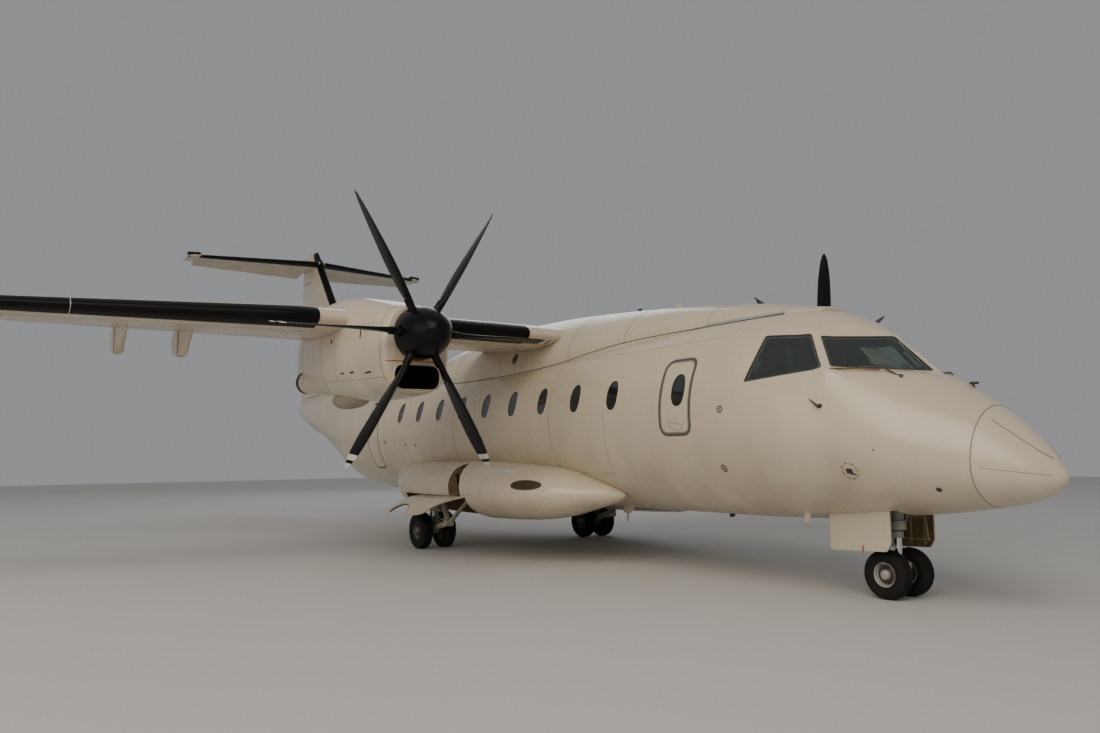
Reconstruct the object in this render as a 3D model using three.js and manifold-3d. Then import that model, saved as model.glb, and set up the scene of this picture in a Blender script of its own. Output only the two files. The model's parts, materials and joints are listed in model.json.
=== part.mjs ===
// A thirty-seat twin turboprop airliner with a high wing and a T-tail, standing on its wheels.
// The frame: +X towards the nose, +Y to port, +Z up, the ground at z = 0.
// All tables are in metres, and meshOf turns the finished shapes into millimetres.
import * as THREE from "three";
import { mergeVertices } from "three/addons/utils/BufferGeometryUtils.js";
import Module from "manifold-3d";

// Driving dimensions
const HALF_LENGTH = 10.555;
const HALF_SPAN = 10.49;
const HEIGHT = 7.24;
const JOIN_GAP = 0.0003; // between two pieces that meet
const SWING_GAP = 0.008; // round a piece that moves
const HINGE_SIDE_GAP = 0.02; // beside a door's hinge, and beside the flaps
const PIN_GAP = 0.0003; // round a pin in its bore
const NOSE_END = 9.985; // the radome's seam
const CABIN_FRONT = 7.45; // where the nose section meets the cabin
const CABIN_REAR = -1.6; // where the cabin meets the tapering tail
const WING_Z = 3.22;
const ENGINE_Y = 3.559;
const PROP = { x: 5.166, z: 2.907, radius: 1.8, blades: 6, tilt: 2.58, feather: 83 };
const PORT_PROPELLER_TURN = 30; // degrees from the starboard one, at rest
const SPINNER_RADIUS = 0.32;
const HUB_RADIUS = 0.2;
const BLADE_ROOT = 0.055;
const NOSE_GEAR = { x: 8.845, y: 0, radius: 0.245, width: 0.17, rim: 0.125, half: 0.18 };
const MAIN_GEAR = { x: 1.425, y: -1.61, radius: 0.29, width: 0.195, rim: 0.135, half: 0.205 };
const AXLE_RADIUS = 0.036;
const STRUT_RADIUS = 0.048; // the steered part of the nose leg
const SHAFT_RADIUS = 0.06; // of each propeller
const DOOR_SKIN = 0.05;
const DOOR_POCKET = 0.22;
const BAGGAGE_ROOM = { x: [-4.6, -1.75], z: [1.2, 2.95], wall: 0.1 };
const ELEVATOR_DROOP = 17; // degrees, as the elevators hang when parked
const PANE_DEPTH = 0.025;

const ROUND = 20; // points round the fuselage
const CHORD_STEPS = 6; // points along each side of a wing section

const wasm = await Module();
wasm.setup();

// Solids

// A closed geometry as a solid that can be cut and joined.
function solidOf(geometry) {
  const bare = geometry.clone();
  bare.deleteAttribute("normal");
  bare.deleteAttribute("uv");
  const merged = mergeVertices(bare, 1e-6);
  const vertProperties = new Float32Array(merged.attributes.position.array);
  const triVerts = new Uint32Array(merged.index.array);
  const solid = new wasm.Manifold(new wasm.Mesh({ numProp: 3, vertProperties, triVerts }));
  if (solid.volume() > 0) return solid;
  for (let i = 0; i < triVerts.length; i += 3) {
    [triVerts[i + 1], triVerts[i + 2]] = [triVerts[i + 2], triVerts[i + 1]];
  }
  return new wasm.Manifold(new wasm.Mesh({ numProp: 3, vertProperties, triVerts }));
}

// The solid stretched through a row of rings, each an equally long list of [x, y, z].
function loft(rings) {
  const count = rings[0].length;
  const points = rings.flat();
  const faces = [];
  for (let r = 0; r + 1 < rings.length; r += 1) {
    for (let i = 0; i < count; i += 1) {
      const next = (i + 1) % count;
      const a = r * count + i;
      const b = r * count + next;
      faces.push(a, b, b + count, a, b + count, a + count);
    }
  }
  for (const [ring, start] of [[rings[0], 0], [rings.at(-1), (rings.length - 1) * count]]) {
    const centre = [0, 1, 2].map((k) => ring.reduce((sum, p) => sum + p[k], 0) / count);
    points.push(centre);
    for (let i = 0; i < count; i += 1) {
      const pair = [start + i, start + ((i + 1) % count)];
      if (start === 0) pair.reverse();
      faces.push(points.length - 1, ...pair);
    }
  }
  const geometry = new THREE.BufferGeometry();
  geometry.setAttribute("position", new THREE.Float32BufferAttribute(points.flat(), 3));
  geometry.setIndex(faces);
  return solidOf(geometry);
}

// A box between two corners.
function box(low, high) {
  const size = high.map((v, i) => v - low[i]);
  const centre = high.map((v, i) => (v + low[i]) / 2);
  return solidOf(new THREE.BoxGeometry(...size).translate(...centre));
}

// A round bar between two points, with its own radius at each end.
function bar(from, to, radius, endRadius = radius, sides = 12) {
  const a = new THREE.Vector3(...from);
  const b = new THREE.Vector3(...to);
  const geometry = new THREE.CylinderGeometry(endRadius, radius, a.distanceTo(b), sides);
  const turn = new THREE.Quaternion().setFromUnitVectors(
    new THREE.Vector3(0, 1, 0),
    b.clone().sub(a).normalize(),
  );
  geometry.applyQuaternion(turn).translate(...a.add(b).multiplyScalar(0.5).toArray());
  return solidOf(geometry);
}

// A pin between two points, and the room it turns in, a little longer and wider.
function pinAndBore(from, to, radius, sides = 12) {
  const direction = to.map((v, i) => v - from[i]);
  const length = Math.hypot(...direction);
  const past = (point, by) => point.map((v, i) => v + (direction[i] / length) * by);
  const wide = (radius + PIN_GAP) / Math.cos(Math.PI / sides);
  return {
    pin: bar(from, to, radius, radius, sides),
    bore: bar(past(from, -0.001), past(to, 0.001), wide, wide, sides),
  };
}

// A side outline of [x, z] points, thick from y = low to y = high.
function sidePlate(outline, low, high) {
  const shape = new THREE.Shape(outline.map(([x, z]) => new THREE.Vector2(x, z)));
  const plate = new THREE.ExtrudeGeometry(shape, { depth: high - low, bevelEnabled: false });
  return solidOf(plate.rotateX(Math.PI / 2).translate(0, high, 0));
}

// A solid turned from a closed profile of [radius, y] about the line through (x, z) along Y.
function turned(profile, x, z, sides = 14) {
  const points = profile.map(([r, y]) => new THREE.Vector2(r, y));
  return solidOf(new THREE.LatheGeometry(points, sides).translate(x, 0, z));
}

// The solid turned about the line through two points.
function turnedAbout(solid, from, to, degrees) {
  const axis = new THREE.Vector3(...to).sub(new THREE.Vector3(...from)).normalize();
  const turn = new THREE.Matrix4()
    .makeTranslation(...from)
    .multiply(new THREE.Matrix4().makeRotationAxis(axis, THREE.MathUtils.degToRad(degrees)))
    .multiply(new THREE.Matrix4().makeTranslation(...from.map((v) => -v)));
  return solid.transform(turn.elements);
}

const join = (first, ...rest) => rest.reduce((sum, part) => sum.add(part), first);
const cut = (first, ...rest) => rest.reduce((left, part) => left.subtract(part), first);

// A smooth curve through rows of a table, which never swings past the values beside it.
function curve(table, column) {
  const rows = [...table].sort((a, b) => a[0] - b[0]);
  const xs = rows.map((row) => row[0]);
  const ys = rows.map((row) => row[column]);
  const steps = xs.slice(1).map((x, i) => x - xs[i]);
  const slopes = steps.map((h, i) => (ys[i + 1] - ys[i]) / h);
  const tangents = xs.map((_, i) => {
    if (i === 0) return slopes[0];
    if (i === xs.length - 1) return slopes.at(-1);
    if (slopes[i - 1] * slopes[i] <= 0) return 0;
    const before = 2 * steps[i] + steps[i - 1];
    const after = steps[i] + 2 * steps[i - 1];
    return (before + after) / (before / slopes[i - 1] + after / slopes[i]);
  });
  return (x) => {
    let i = 0;
    while (i < steps.length - 1 && x > xs[i + 1]) i += 1;
    const h = steps[i];
    const t = (x - xs[i]) / h;
    return (
      ys[i] * (1 + 2 * t) * (1 - t) ** 2 +
      h * tangents[i] * t * (1 - t) ** 2 +
      ys[i + 1] * t * t * (3 - 2 * t) +
      h * tangents[i + 1] * t * t * (t - 1)
    );
  };
}

// A body whose sections are read off a table of x, top, middle, bottom, half width.
// Its sections are ellipses at power 1 and squarer below that.
function bodyShape(table, centreY = 0, power = 1) {
  const [top, middle, bottom, half] = [1, 2, 3, 4].map((column) => curve(table, column));
  const ring = (x, inset = 0, count = ROUND) =>
    Array.from({ length: count }, (_, i) => {
      const a = (2 * Math.PI * i) / count;
      const [out, up] = [Math.cos(a), Math.sin(a)].map((v) => Math.sign(v) * Math.abs(v) ** power);
      const mid = middle(x);
      const reach = up > 0 ? top(x) - inset - mid : mid - bottom(x) - inset;
      return [x, centreY + Math.max(half(x) - inset, 0.004) * out, mid + reach * up];
    });
  const solid = (stations, inset = 0, count = ROUND) =>
    loft(stations.map((x) => ring(x, inset, count)));
  return { top, middle, bottom, half, ring, solid };
}

// Stations between two places, both included.
const between = (from, to, steps) =>
  Array.from({ length: steps + 1 }, (_, i) => from + ((to - from) * i) / steps);

// Colours and finishes
const FINISH = {
  paint: { color: 0xd9d2c4, roughness: 0.32, metalness: 0.0 },
  black: { color: 0x121417, roughness: 0.38, metalness: 0.0 },
  glass: { color: 0x2b3a40, roughness: 0.08, metalness: 0.2 },
  legGrey: { color: 0x9a9c93, roughness: 0.5, metalness: 0.3 },
  rim: { color: 0xb3b1a9, roughness: 0.45, metalness: 0.4 },
  tyre: { color: 0x1c1c1d, roughness: 0.9, metalness: 0.0 },
  engine: { color: 0x5c5f60, roughness: 0.55, metalness: 0.7 },
};

const airliner = new THREE.Group();

function meshOf(name, solid, finish) {
  const made = solid.getMesh();
  const geometry = new THREE.BufferGeometry();
  geometry.setAttribute("position", new THREE.BufferAttribute(made.vertProperties, 3));
  geometry.setIndex(new THREE.BufferAttribute(made.triVerts, 1));
  geometry.scale(1000, 1000, 1000);
  const flat = geometry.toNonIndexed();
  flat.computeVertexNormals();
  const mesh = new THREE.Mesh(flat, new THREE.MeshStandardMaterial(FINISH[finish]));
  mesh.name = name;
  airliner.add(mesh);
  return mesh;
}

// A piece on the starboard side and its mirror image to port.
function pair(name, solid, finish) {
  meshOf(`${name}_right`, solid, finish);
  meshOf(`${name}_left`, solid, finish).scale.set(1, -1, 1);
}

// Fuselage: x, top, middle, bottom, half width
const fuselage = bodyShape([
  [HALF_LENGTH, 1.245, 1.24, 1.235, 0.005],
  [10.51, 1.345, 1.243, 1.145, 0.115],
  [10.405, 1.495, 1.255, 1.065, 0.245],
  [10.215, 1.7, 1.29, 0.995, 0.385],
  [9.975, 1.905, 1.34, 0.945, 0.54],
  [9.725, 2.085, 1.4, 0.905, 0.675],
  [9.375, 2.275, 1.5, 0.86, 0.825],
  [8.935, 2.665, 1.62, 0.82, 0.975],
  [8.765, 2.8, 1.67, 0.805, 1.02],
  [8.545, 2.925, 1.73, 0.785, 1.07],
  [8.085, 3.07, 1.83, 0.755, 1.145],
  [7.425, 3.14, 1.91, 0.735, 1.195],
  [6.425, 3.15, 1.94, 0.73, 1.21],
  [-1.6, 3.15, 1.94, 0.73, 1.21],
  [-2.8, 3.15, 1.97, 0.785, 1.195],
  [-4.0, 3.15, 2.03, 0.86, 1.148],
  [-5.7, 3.14, 2.19, 1.44, 0.91],
  [-7.0, 3.12, 2.36, 1.88, 0.735],
  [-8.0, 3.09, 2.52, 2.08, 0.63],
  [-9.3, 3.01, 2.66, 2.41, 0.375],
  [-10.3, 2.93, 2.78, 2.69, 0.165],
  [-HALF_LENGTH, 2.88, 2.8, 2.74, 0.1],
]);
const radomeStations = [HALF_LENGTH, 10.53, 10.48, 10.405, 10.3, 10.15, NOSE_END];
const noseStations = [NOSE_END - JOIN_GAP, 9.8, 9.55, 9.375, 9.2, 8.935, 8.765, 8.545, 8.3, 8.0, CABIN_FRONT];
const cabinStations = [CABIN_FRONT - JOIN_GAP, 6.9, 6.425, 2.4, CABIN_REAR];
const tailStations = [CABIN_REAR - JOIN_GAP, -2.2, -2.8, -4, -5, -6, -7, -8, -9, -9.8, -10.3, -HALF_LENGTH];
const wholeStations = [
  HALF_LENGTH, ...noseStations, ...cabinStations.slice(1), ...tailStations.slice(1),
];

// How far out the fuselage's skin lies at a height.
function skinY(x, z) {
  const mid = fuselage.middle(x);
  const reach = z > mid ? fuselage.top(x) - mid : mid - fuselage.bottom(x);
  return fuselage.half(x) * Math.sqrt(Math.max(0, 1 - ((z - mid) / reach) ** 2));
}

// Doors in the round skin: side is +1 to port and -1 to starboard, edge is the hinged one.
const DOORS = {
  passenger_door: { side: 1, x: [6.45, 7.15], z: [1.02, 2.72], section: "cabin", edge: "bottom", steps: 6 },
  baggage_door: { side: 1, x: [-3.35, -2.43], z: [1.32, 2.72], section: "tail", edge: "top", steps: 0 },
  service_door: { side: -1, x: [-2.4, -1.9], z: [1.27, 2.52], section: "tail", edge: "top", steps: 0 },
};

// The box that a door fills, out past the skin, or the larger one that it moves in.
function doorBox({ side, x, z, edge }, grow = 0) {
  const ys = [side * 0.4, side * 1.4].sort((a, b) => a - b);
  const below = grow && edge === "bottom" ? HINGE_SIDE_GAP : grow;
  const above = grow && edge === "top" ? HINGE_SIDE_GAP : grow;
  return box([x[0] - grow, ys[0], z[0] - below], [x[1] + grow, ys[1], z[1] + above]);
}

// The two pins of a door's hinge, one at each end of its hinged edge.
function doorPins({ side, x, z, edge }) {
  const height = edge === "top" ? z[1] - 0.015 : z[0] + 0.015;
  const y = side * (skinY((x[0] + x[1]) / 2, height) - 0.032);
  return [[x[0] - 0.03, x[0] + 0.03], [x[1] - 0.03, x[1] + 0.03]].map((ends) =>
    pinAndBore([ends[0], y, height], [ends[1], y, height], 0.009));
}

const outerSkin = fuselage.solid(wholeStations);
const sections = {
  radome: fuselage.solid(radomeStations),
  nose: fuselage.solid(noseStations),
  cabin: fuselage.solid(cabinStations),
  tail: fuselage.solid(tailStations),
};
const insetBy = (depth) => fuselage.solid(wholeStations.slice(1, -1), depth);
const behindDoors = insetBy(DOOR_POCKET);
const insideDoorSkin = insetBy(DOOR_SKIN);
const baggageRoom = insetBy(BAGGAGE_ROOM.wall).intersect(box(
  [BAGGAGE_ROOM.x[0], -1.2, BAGGAGE_ROOM.z[0]],
  [BAGGAGE_ROOM.x[1], 1.2, BAGGAGE_ROOM.z[1]],
));
sections.tail = cut(sections.tail, baggageRoom);

for (const [name, door] of Object.entries(DOORS)) {
  const space = doorBox(door, SWING_GAP);
  const pocket = door.steps ? cut(space, behindDoors) : space;
  const pins = doorPins(door);
  sections[door.section] = cut(sections[door.section], pocket, ...pins.map(({ bore }) => bore));
  let panel = join(
    cut(outerSkin.intersect(doorBox(door)), insideDoorSkin),
    ...pins.map(({ pin }) => pin),
  );
  for (let i = 0; i < door.steps; i += 1) {
    const z = door.z[0] + 0.2 + (i * (door.z[1] - door.z[0] - 0.4)) / (door.steps - 1);
    const y = door.side * skinY(door.x[0], z);
    const ends = [y - door.side * 0.175, y - door.side * 0.03].sort((a, b) => a - b);
    const step = box([door.x[0] + 0.06, ends[0], z - 0.012], [door.x[1] - 0.06, ends[1], z + 0.012]);
    panel = join(panel, step);
  }
  meshOf(name, panel, "paint");
}

// Cockpit glass: the corners of each pane on the skin, and the way it is cut through the skin
const PANES = {
  windshield: {
    corners: [[8.53, -0.667, 2.672], [8.949, -0.036, 2.652], [9.386, -0.043, 2.267], [8.767, -0.838, 2.313]],
    through: [0.72, -0.3, 0.62],
  },
  side_window: {
    corners: [[7.921, -0.816, 2.738], [8.438, -0.696, 2.689], [8.687, -0.88, 2.308], [7.861, -1.12, 2.215]],
    through: [0.2, -0.84, 0.5],
  },
};

function paneTool({ corners, through }, grow = 0) {
  const centre = [0, 1, 2].map((k) => corners.reduce((sum, p) => sum + p[k], 0) / corners.length);
  const spread = corners.map((p) => {
    const away = p.map((v, k) => v - centre[k]);
    const length = Math.hypot(...away);
    return p.map((v, k) => v + (away[k] / length) * grow);
  });
  return loft([-0.1, 0.25].map((d) => spread.map((p) => p.map((v, k) => v + through[k] * d))));
}

const behindPanes = insetBy(PANE_DEPTH);
const behindPanesGap = insetBy(PANE_DEPTH + JOIN_GAP);
for (const [name, pane] of Object.entries(PANES)) {
  const pocket = cut(paneTool(pane, 2 * JOIN_GAP), behindPanesGap);
  sections.nose = cut(sections.nose, pocket, pocket.mirror([0, 1, 0]));
  pair(name, cut(outerSkin.intersect(paneTool(pane)), behindPanes), "glass");
}

// Wing and tail surfaces

// Half the thickness of a section, as a share of its full thickness, at a share of its chord.
const halfThickness = (x) =>
  5 * (0.2969 * Math.sqrt(x) - 0.126 * x - 0.3516 * x ** 2 + 0.2843 * x ** 3 - 0.1015 * x ** 4);

// The sections of a surface: place(x, span, across) puts a point of it in the frame.
function surface(stations, place, bulge = 0) {
  const rings = stations.map(({ span, lead, chord, thick, rise = 0 }) => {
    const point = (share, side) => {
      const middle = rise + bulge * chord * 4 * share * (1 - share);
      return place(lead - share * chord, span, middle + side * halfThickness(share) * thick * chord);
    };
    const shares = Array.from({ length: CHORD_STEPS + 1 }, (_, i) =>
      0.5 * (1 - Math.cos((Math.PI * i) / CHORD_STEPS)));
    return [
      ...[...shares].reverse().map((share) => point(share, 1)),
      ...shares.slice(1).map((share) => point(share, -1)),
    ];
  });
  return loft(rings);
}

const flatWise = (x, span, across) => [x, span, across];
const upright = (x, span, across) => [x, across, span];

// The space of a hinged surface between two span places: round in front, open behind.
function hingeSpace(ends, place, grow = 0) {
  const stretch = Math.hypot(1, (ends[1].x - ends[0].x) / (ends[1].span - ends[0].span));
  const rings = ends.map(({ span, x, middle, radius }) => {
    const nose = between(-90, 90, 6).map((degrees) => {
      const a = THREE.MathUtils.degToRad(degrees);
      const ahead = (radius + grow) * stretch * Math.cos(a);
      return place(x + ahead, span, middle + (radius + grow) * Math.sin(a));
    });
    return [
      ...nose,
      place(x - 0.001, span, middle + 0.4),
      place(-12, span, middle + 0.4),
      place(-12, span, middle - 0.4),
      place(x - 0.001, span, middle - 0.4),
    ];
  });
  return loft(rings);
}

// Moves both ends of a hinged space out along the span.
function longer(ends, [byFirst, bySecond]) {
  const [a, b] = ends;
  const slope = (key) => (b[key] - a[key]) / (b.span - a.span);
  const sign = Math.sign(b.span - a.span);
  const shift = (end, d) => ({
    span: end.span + d,
    x: end.x + slope("x") * d,
    middle: end.middle + slope("middle") * d,
    radius: end.radius + slope("radius") * d,
  });
  return [shift(a, -sign * byFirst), shift(b, sign * bySecond)];
}

// The pins at both ends of a hinged surface, along its hinge line.
function hingePins(ends, place, radius = 0.008) {
  const at = (t) => {
    const [span, x, middle] = ["span", "x", "middle"].map((key) => ends[0][key] + (ends[1][key] - ends[0][key]) * t);
    return place(x, span, middle);
  };
  const step = 0.03 / Math.abs(ends[1].span - ends[0].span);
  return [[-step, step], [1 - step, 1 + step]].map(([from, to]) => pinAndBore(at(from), at(to), radius, 8));
}

// A surface cut out of its parent shape, with its pins, and the parent with the room for both.
function hinged(whole, parent, line, place, endGaps = [SWING_GAP, SWING_GAP], withPins = true) {
  const room = hingeSpace(longer(line, endGaps), place, SWING_GAP);
  const pins = withPins ? hingePins(line, place) : [];
  const rooms = [room, ...pins.map(({ bore }) => bore)];
  const mirrored = place === flatWise ? rooms.map((solid) => solid.mirror([0, 1, 0])) : [];
  return {
    moving: join(whole.intersect(hingeSpace(line, place)), ...pins.map(({ pin }) => pin)),
    fixed: cut(parent, ...rooms, ...mirrored),
  };
}

// Wing: distance out, leading edge, chord, thickness share
const WING_TABLE = [
  [1.0, 3.925, 2.35, 0.15],
  [4.6, 3.925, 2.35, 0.148],
  [7.7, 3.15, 1.57, 0.14],
  [10.15, 2.6, 1.0, 0.125],
  [10.42, 2.4, 0.74, 0.09],
  [HALF_SPAN, 2.22, 0.5, 0.05],
];
const WING_BULGE = 0.012;
const wingStations = [...WING_TABLE].reverse().map(([out, lead, chord, thick]) =>
  ({ span: -out, lead, chord, thick, rise: WING_Z }));
const wholeWing = surface(
  [...wingStations, ...[...wingStations].reverse().map((row) => ({ ...row, span: -row.span }))],
  flatWise,
  WING_BULGE,
);

// The wing's line at a distance out, straight between the table's rows.
function wingAt(out) {
  const i = Math.max(1, WING_TABLE.findIndex((row) => row[0] >= out));
  const [a, b] = [WING_TABLE[i - 1], WING_TABLE[i]];
  const t = (out - a[0]) / (b[0] - a[0]);
  const [, lead, chord, thick] = a.map((v, k) => v + (b[k] - v) * t);
  return { lead, chord, thick };
}

// One end of a surface hinged to the wing, whose front lies at x.
function wingEnd(out, x) {
  const { lead, chord, thick } = wingAt(out);
  const share = (lead - x) / chord;
  return {
    span: -out,
    x,
    middle: WING_Z + WING_BULGE * chord * 4 * share * (1 - share),
    radius: halfThickness(share) * thick * chord,
  };
}

// Movable surfaces of the starboard wing: inner and outer end, each with its hinge line's x
const WING_FLAPS = {
  flap_inner: [[1.62, 2.13], [3.0, 2.13]],
  flap_outer: [[4.12, 2.13], [6.6, 2.0]],
  aileron: [[6.67, 1.99], [10.1, 1.86]],
};
// Fairings round the flap hinges: distance out, on which flap
const FLAP_FAIRINGS = [[2.3, "flap_inner"], [5.63, "flap_outer"], [6.39, "flap_outer"]];
const FLAP_PIVOT = { ahead: 0.02, z: 2.86 };

// A slim boat-shaped fairing under the wing from front to rear.
function fairing(out, front, rear, depths) {
  const width = 0.055;
  const rings = between(front, rear, depths.length - 1).map((x, i) => {
    const w = width * depths[i][1];
    const low = WING_Z - depths[i][0];
    return [
      [x, -out - w, WING_Z - 0.04], [x, -out - w * 0.55, low], [x, -out + w * 0.55, low], [x, -out + w, WING_Z - 0.04],
    ];
  });
  return loft(rings);
}

let wing = wholeWing;
const wingPieces = {};
for (const [name, ends] of Object.entries(WING_FLAPS)) {
  const line = ends.map(([out, x]) => wingEnd(out, x));
  const isFlap = name.startsWith("flap");
  const endGaps = isFlap ? [HINGE_SIDE_GAP, HINGE_SIDE_GAP] : undefined;
  const { moving, fixed } = hinged(wholeWing, wing, line, flatWise, endGaps, !isFlap);
  wing = fixed;
  wingPieces[name] = moving;
}
for (const [out, flap] of FLAP_FAIRINGS) {
  const [[innerOut, innerX], [outerOut, outerX]] = WING_FLAPS[flap];
  const lineX = (o) => innerX + ((outerX - innerX) * (o - innerOut)) / (outerOut - innerOut);
  const pivot = (o) => [lineX(o) + FLAP_PIVOT.ahead, -o, FLAP_PIVOT.z];
  const [x, , z] = pivot(out);
  const { pin, bore } = pinAndBore(pivot(out - 0.043), pivot(out + 0.043), 0.01, 12);
  const front = join(
    fairing(out, x + 0.62, x + 0.09, [[0.14, 0.4], [0.4, 1]]),
    box([x - 0.016, -out - 0.012, z - 0.018], [x + 0.1, -out + 0.012, z + 0.018]),
    pin,
  );
  const cheeks = [-1, 1].map((side) => {
    const middle = out + side * 0.032;
    return box([x - 0.06, -middle - 0.013, z - 0.022], [x + 0.018, -middle + 0.013, z + 0.022]);
  });
  const rear = fairing(out, x - 0.05, x - 0.75, [[0.4, 1], [0.36, 0.8], [0.16, 0.25]]);
  wing = join(wing, front, front.mirror([0, 1, 0]));
  wingPieces[flap] = join(wingPieces[flap], cut(join(rear, ...cheeks), bore));
}
for (const [name, solid] of Object.entries(wingPieces)) pair(name, solid, "paint");

// Fairing between the wing and the cabin roof: x, top, middle, bottom, half width
const wingFairing = bodyShape([
  [8.2, 3.08, 2.98, 2.85, 0.25],
  [7.885, 3.13, 2.98, 2.8, 0.46],
  [7.395, 3.235, 2.97, 2.75, 0.575],
  [6.75, 3.315, 2.97, 2.7, 0.605],
  [6.1, 3.395, 2.93, 2.65, 0.68],
  [5.45, 3.455, 2.87, 2.6, 0.765],
  [4.6, 3.52, 2.8, 2.5, 0.845],
  [3.57, 3.585, 2.72, 2.4, 0.92],
  [2.4, 3.61, 2.69, 2.35, 0.945],
  [1.2, 3.56, 2.7, 2.35, 0.94],
  [0.2, 3.44, 2.74, 2.4, 0.9],
  [-0.8, 3.28, 2.86, 2.6, 0.68],
  [-1.5, 3.17, 2.98, 2.8, 0.4],
]);
const fairingStations = [8.2, 7.9, 7.4, 6.75, 6.1, 5.45, 4.6, 3.57, 2.4, 1.2, 0.2, -0.8, -1.5];
const fuselageGrown = fuselage.solid(wholeStations.slice(1), -JOIN_GAP);
const wingGrown = surface(
  [...wingStations, ...[...wingStations].reverse().map((row) => ({ ...row, span: -row.span }))]
    .map((row) => ({ ...row, lead: row.lead + JOIN_GAP * 2, chord: row.chord + JOIN_GAP * 4 })),
  flatWise,
  WING_BULGE,
);
const wingSleeve = join(
  wingGrown.translate([0, 0, JOIN_GAP]),
  wingGrown.translate([0, 0, -JOIN_GAP]),
);
meshOf("wing_fairing", cut(wingFairing.solid(fairingStations, 0, 16), fuselageGrown, wingSleeve), "paint");
wing = cut(wing, fuselageGrown);
meshOf("wing", wing, "paint");

// Nacelle: x, top, middle, bottom, half width
const nacelleShape = bodyShape([
  [5.0, 3.245, 2.78, 2.215, 0.4],
  [4.85, 3.285, 2.79, 2.195, 0.45],
  [4.5, 3.37, 2.81, 2.185, 0.49],
  [3.925, 3.49, 2.83, 2.18, 0.5],
  [3.4, 3.585, 2.84, 2.21, 0.5],
  [2.8, 3.64, 2.84, 2.29, 0.48],
  [2.2, 3.64, 2.82, 2.4, 0.44],
  [1.7, 3.55, 2.8, 2.49, 0.37],
  [1.2, 3.34, 2.8, 2.6, 0.25],
  [0.7, 3.02, 2.84, 2.74, 0.07],
], -ENGINE_Y, 0.72);
const nacelleStations = [5.0, 4.85, 4.5, 3.925, 3.4, 2.8, 2.2, 1.7, 1.2, 0.7];
// The exhaust pipe, which leaves the nacelle low on its outer side
const EXHAUST = { from: [2.9, -3.7, 2.5], to: [1.9, -3.88, 2.55], radius: 0.155, bore: 0.13, depth: 0.25 };
const ENGINE_BLOCK = { x: [3.2, 4.99], half: 0.27, z: [2.62, 3.03] };
const INTAKE = { x: [4.3, 5.1], half: 0.3, z: [2.25, 2.55], round: 0.09 };

const atPropeller = (solid, y) => solid.rotate([0, PROP.tilt, 0]).translate([PROP.x, y, PROP.z]);
const shaft = pinAndBore([-0.4, 0, 0], [0.02, 0, 0], SHAFT_RADIUS, 24);
const engine = join(
  box(
    [ENGINE_BLOCK.x[0], -ENGINE_Y - ENGINE_BLOCK.half, ENGINE_BLOCK.z[0]],
    [ENGINE_BLOCK.x[1], -ENGINE_Y + ENGINE_BLOCK.half, ENGINE_BLOCK.z[1]],
  ),
  atPropeller(shaft.pin, -ENGINE_Y),
);
const engineRoom = box(
  [ENGINE_BLOCK.x[0] - JOIN_GAP, -ENGINE_Y - ENGINE_BLOCK.half - JOIN_GAP, ENGINE_BLOCK.z[0] - JOIN_GAP],
  [5.2, -ENGINE_Y + ENGINE_BLOCK.half + JOIN_GAP, ENGINE_BLOCK.z[1] + JOIN_GAP],
);
const intakeRing = (x) =>
  [[1, 1], [-1, 1], [-1, -1], [1, -1]].flatMap(([sy, sz]) =>
    between(0, 90, 3).map((degrees) => {
      const turn = sy * sz > 0 ? degrees : 90 - degrees;
      const a = THREE.MathUtils.degToRad(turn);
      const middle = (INTAKE.z[0] + INTAKE.z[1]) / 2;
      const reach = (INTAKE.z[1] - INTAKE.z[0]) / 2 - INTAKE.round;
      return [
        x,
        -ENGINE_Y + sy * (INTAKE.half - INTAKE.round + INTAKE.round * Math.cos(a)),
        middle + sz * (reach + INTAKE.round * Math.sin(a)),
      ];
    }));
const intakeRoom = loft(INTAKE.x.map(intakeRing));
const exhaustPoint = (share) => EXHAUST.from.map((v, i) => v + (EXHAUST.to[i] - v) * share);
const exhaustPipe = bar(EXHAUST.from, EXHAUST.to, 0.2, EXHAUST.radius, 14);
const exhaustBore = bar(exhaustPoint(1 - EXHAUST.depth), exhaustPoint(1.1), EXHAUST.bore, EXHAUST.bore, 14);
const nacelle = join(nacelleShape.solid(nacelleStations, 0, 16), exhaustPipe);
pair("nacelle", cut(nacelle, wingSleeve, engineRoom, intakeRoom, exhaustBore), "paint");
pair("engine", engine, "engine");

// Tailplane and fin
const TAILPLANE_TABLE = [
  [0, -8.9, 1.62, 0.11],
  [3.2, -9.66, 0.86, 0.1],
  [3.35, -9.76, 0.72, 0.08],
];
const TAILPLANE_Z = 6.84;
const tailStationsOf = (grow) => {
  const half = TAILPLANE_TABLE.map(([out, lead, chord, thick]) =>
    ({ span: -out, lead: lead + grow, chord: chord + 2 * grow, thick, rise: TAILPLANE_Z }));
  return [...half.slice(1).reverse(), ...half.map((row) => ({ ...row, span: -row.span }))];
};
const wholeTailplane = surface(tailStationsOf(0), flatWise);

const finLead = (z) => -7.831 - (z - 5.627) * 0.9077;
const FIN_TRAIL = -10.5;
const finStation = (z, thick, grow = 0) => ({
  span: z,
  lead: finLead(z) + grow,
  chord: finLead(z) - FIN_TRAIL + 2 * grow,
  thick,
});
const FIN_BOTTOM = finStation(2.8, 0.07);
const FIN_TOP = finStation(TAILPLANE_Z, 0.11);
const wholeFin = surface([FIN_BOTTOM, FIN_TOP], upright);
const finTip = surface([FIN_TOP, finStation(7.12, 0.11), finStation(HEIGHT, 0.05)], upright);

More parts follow.
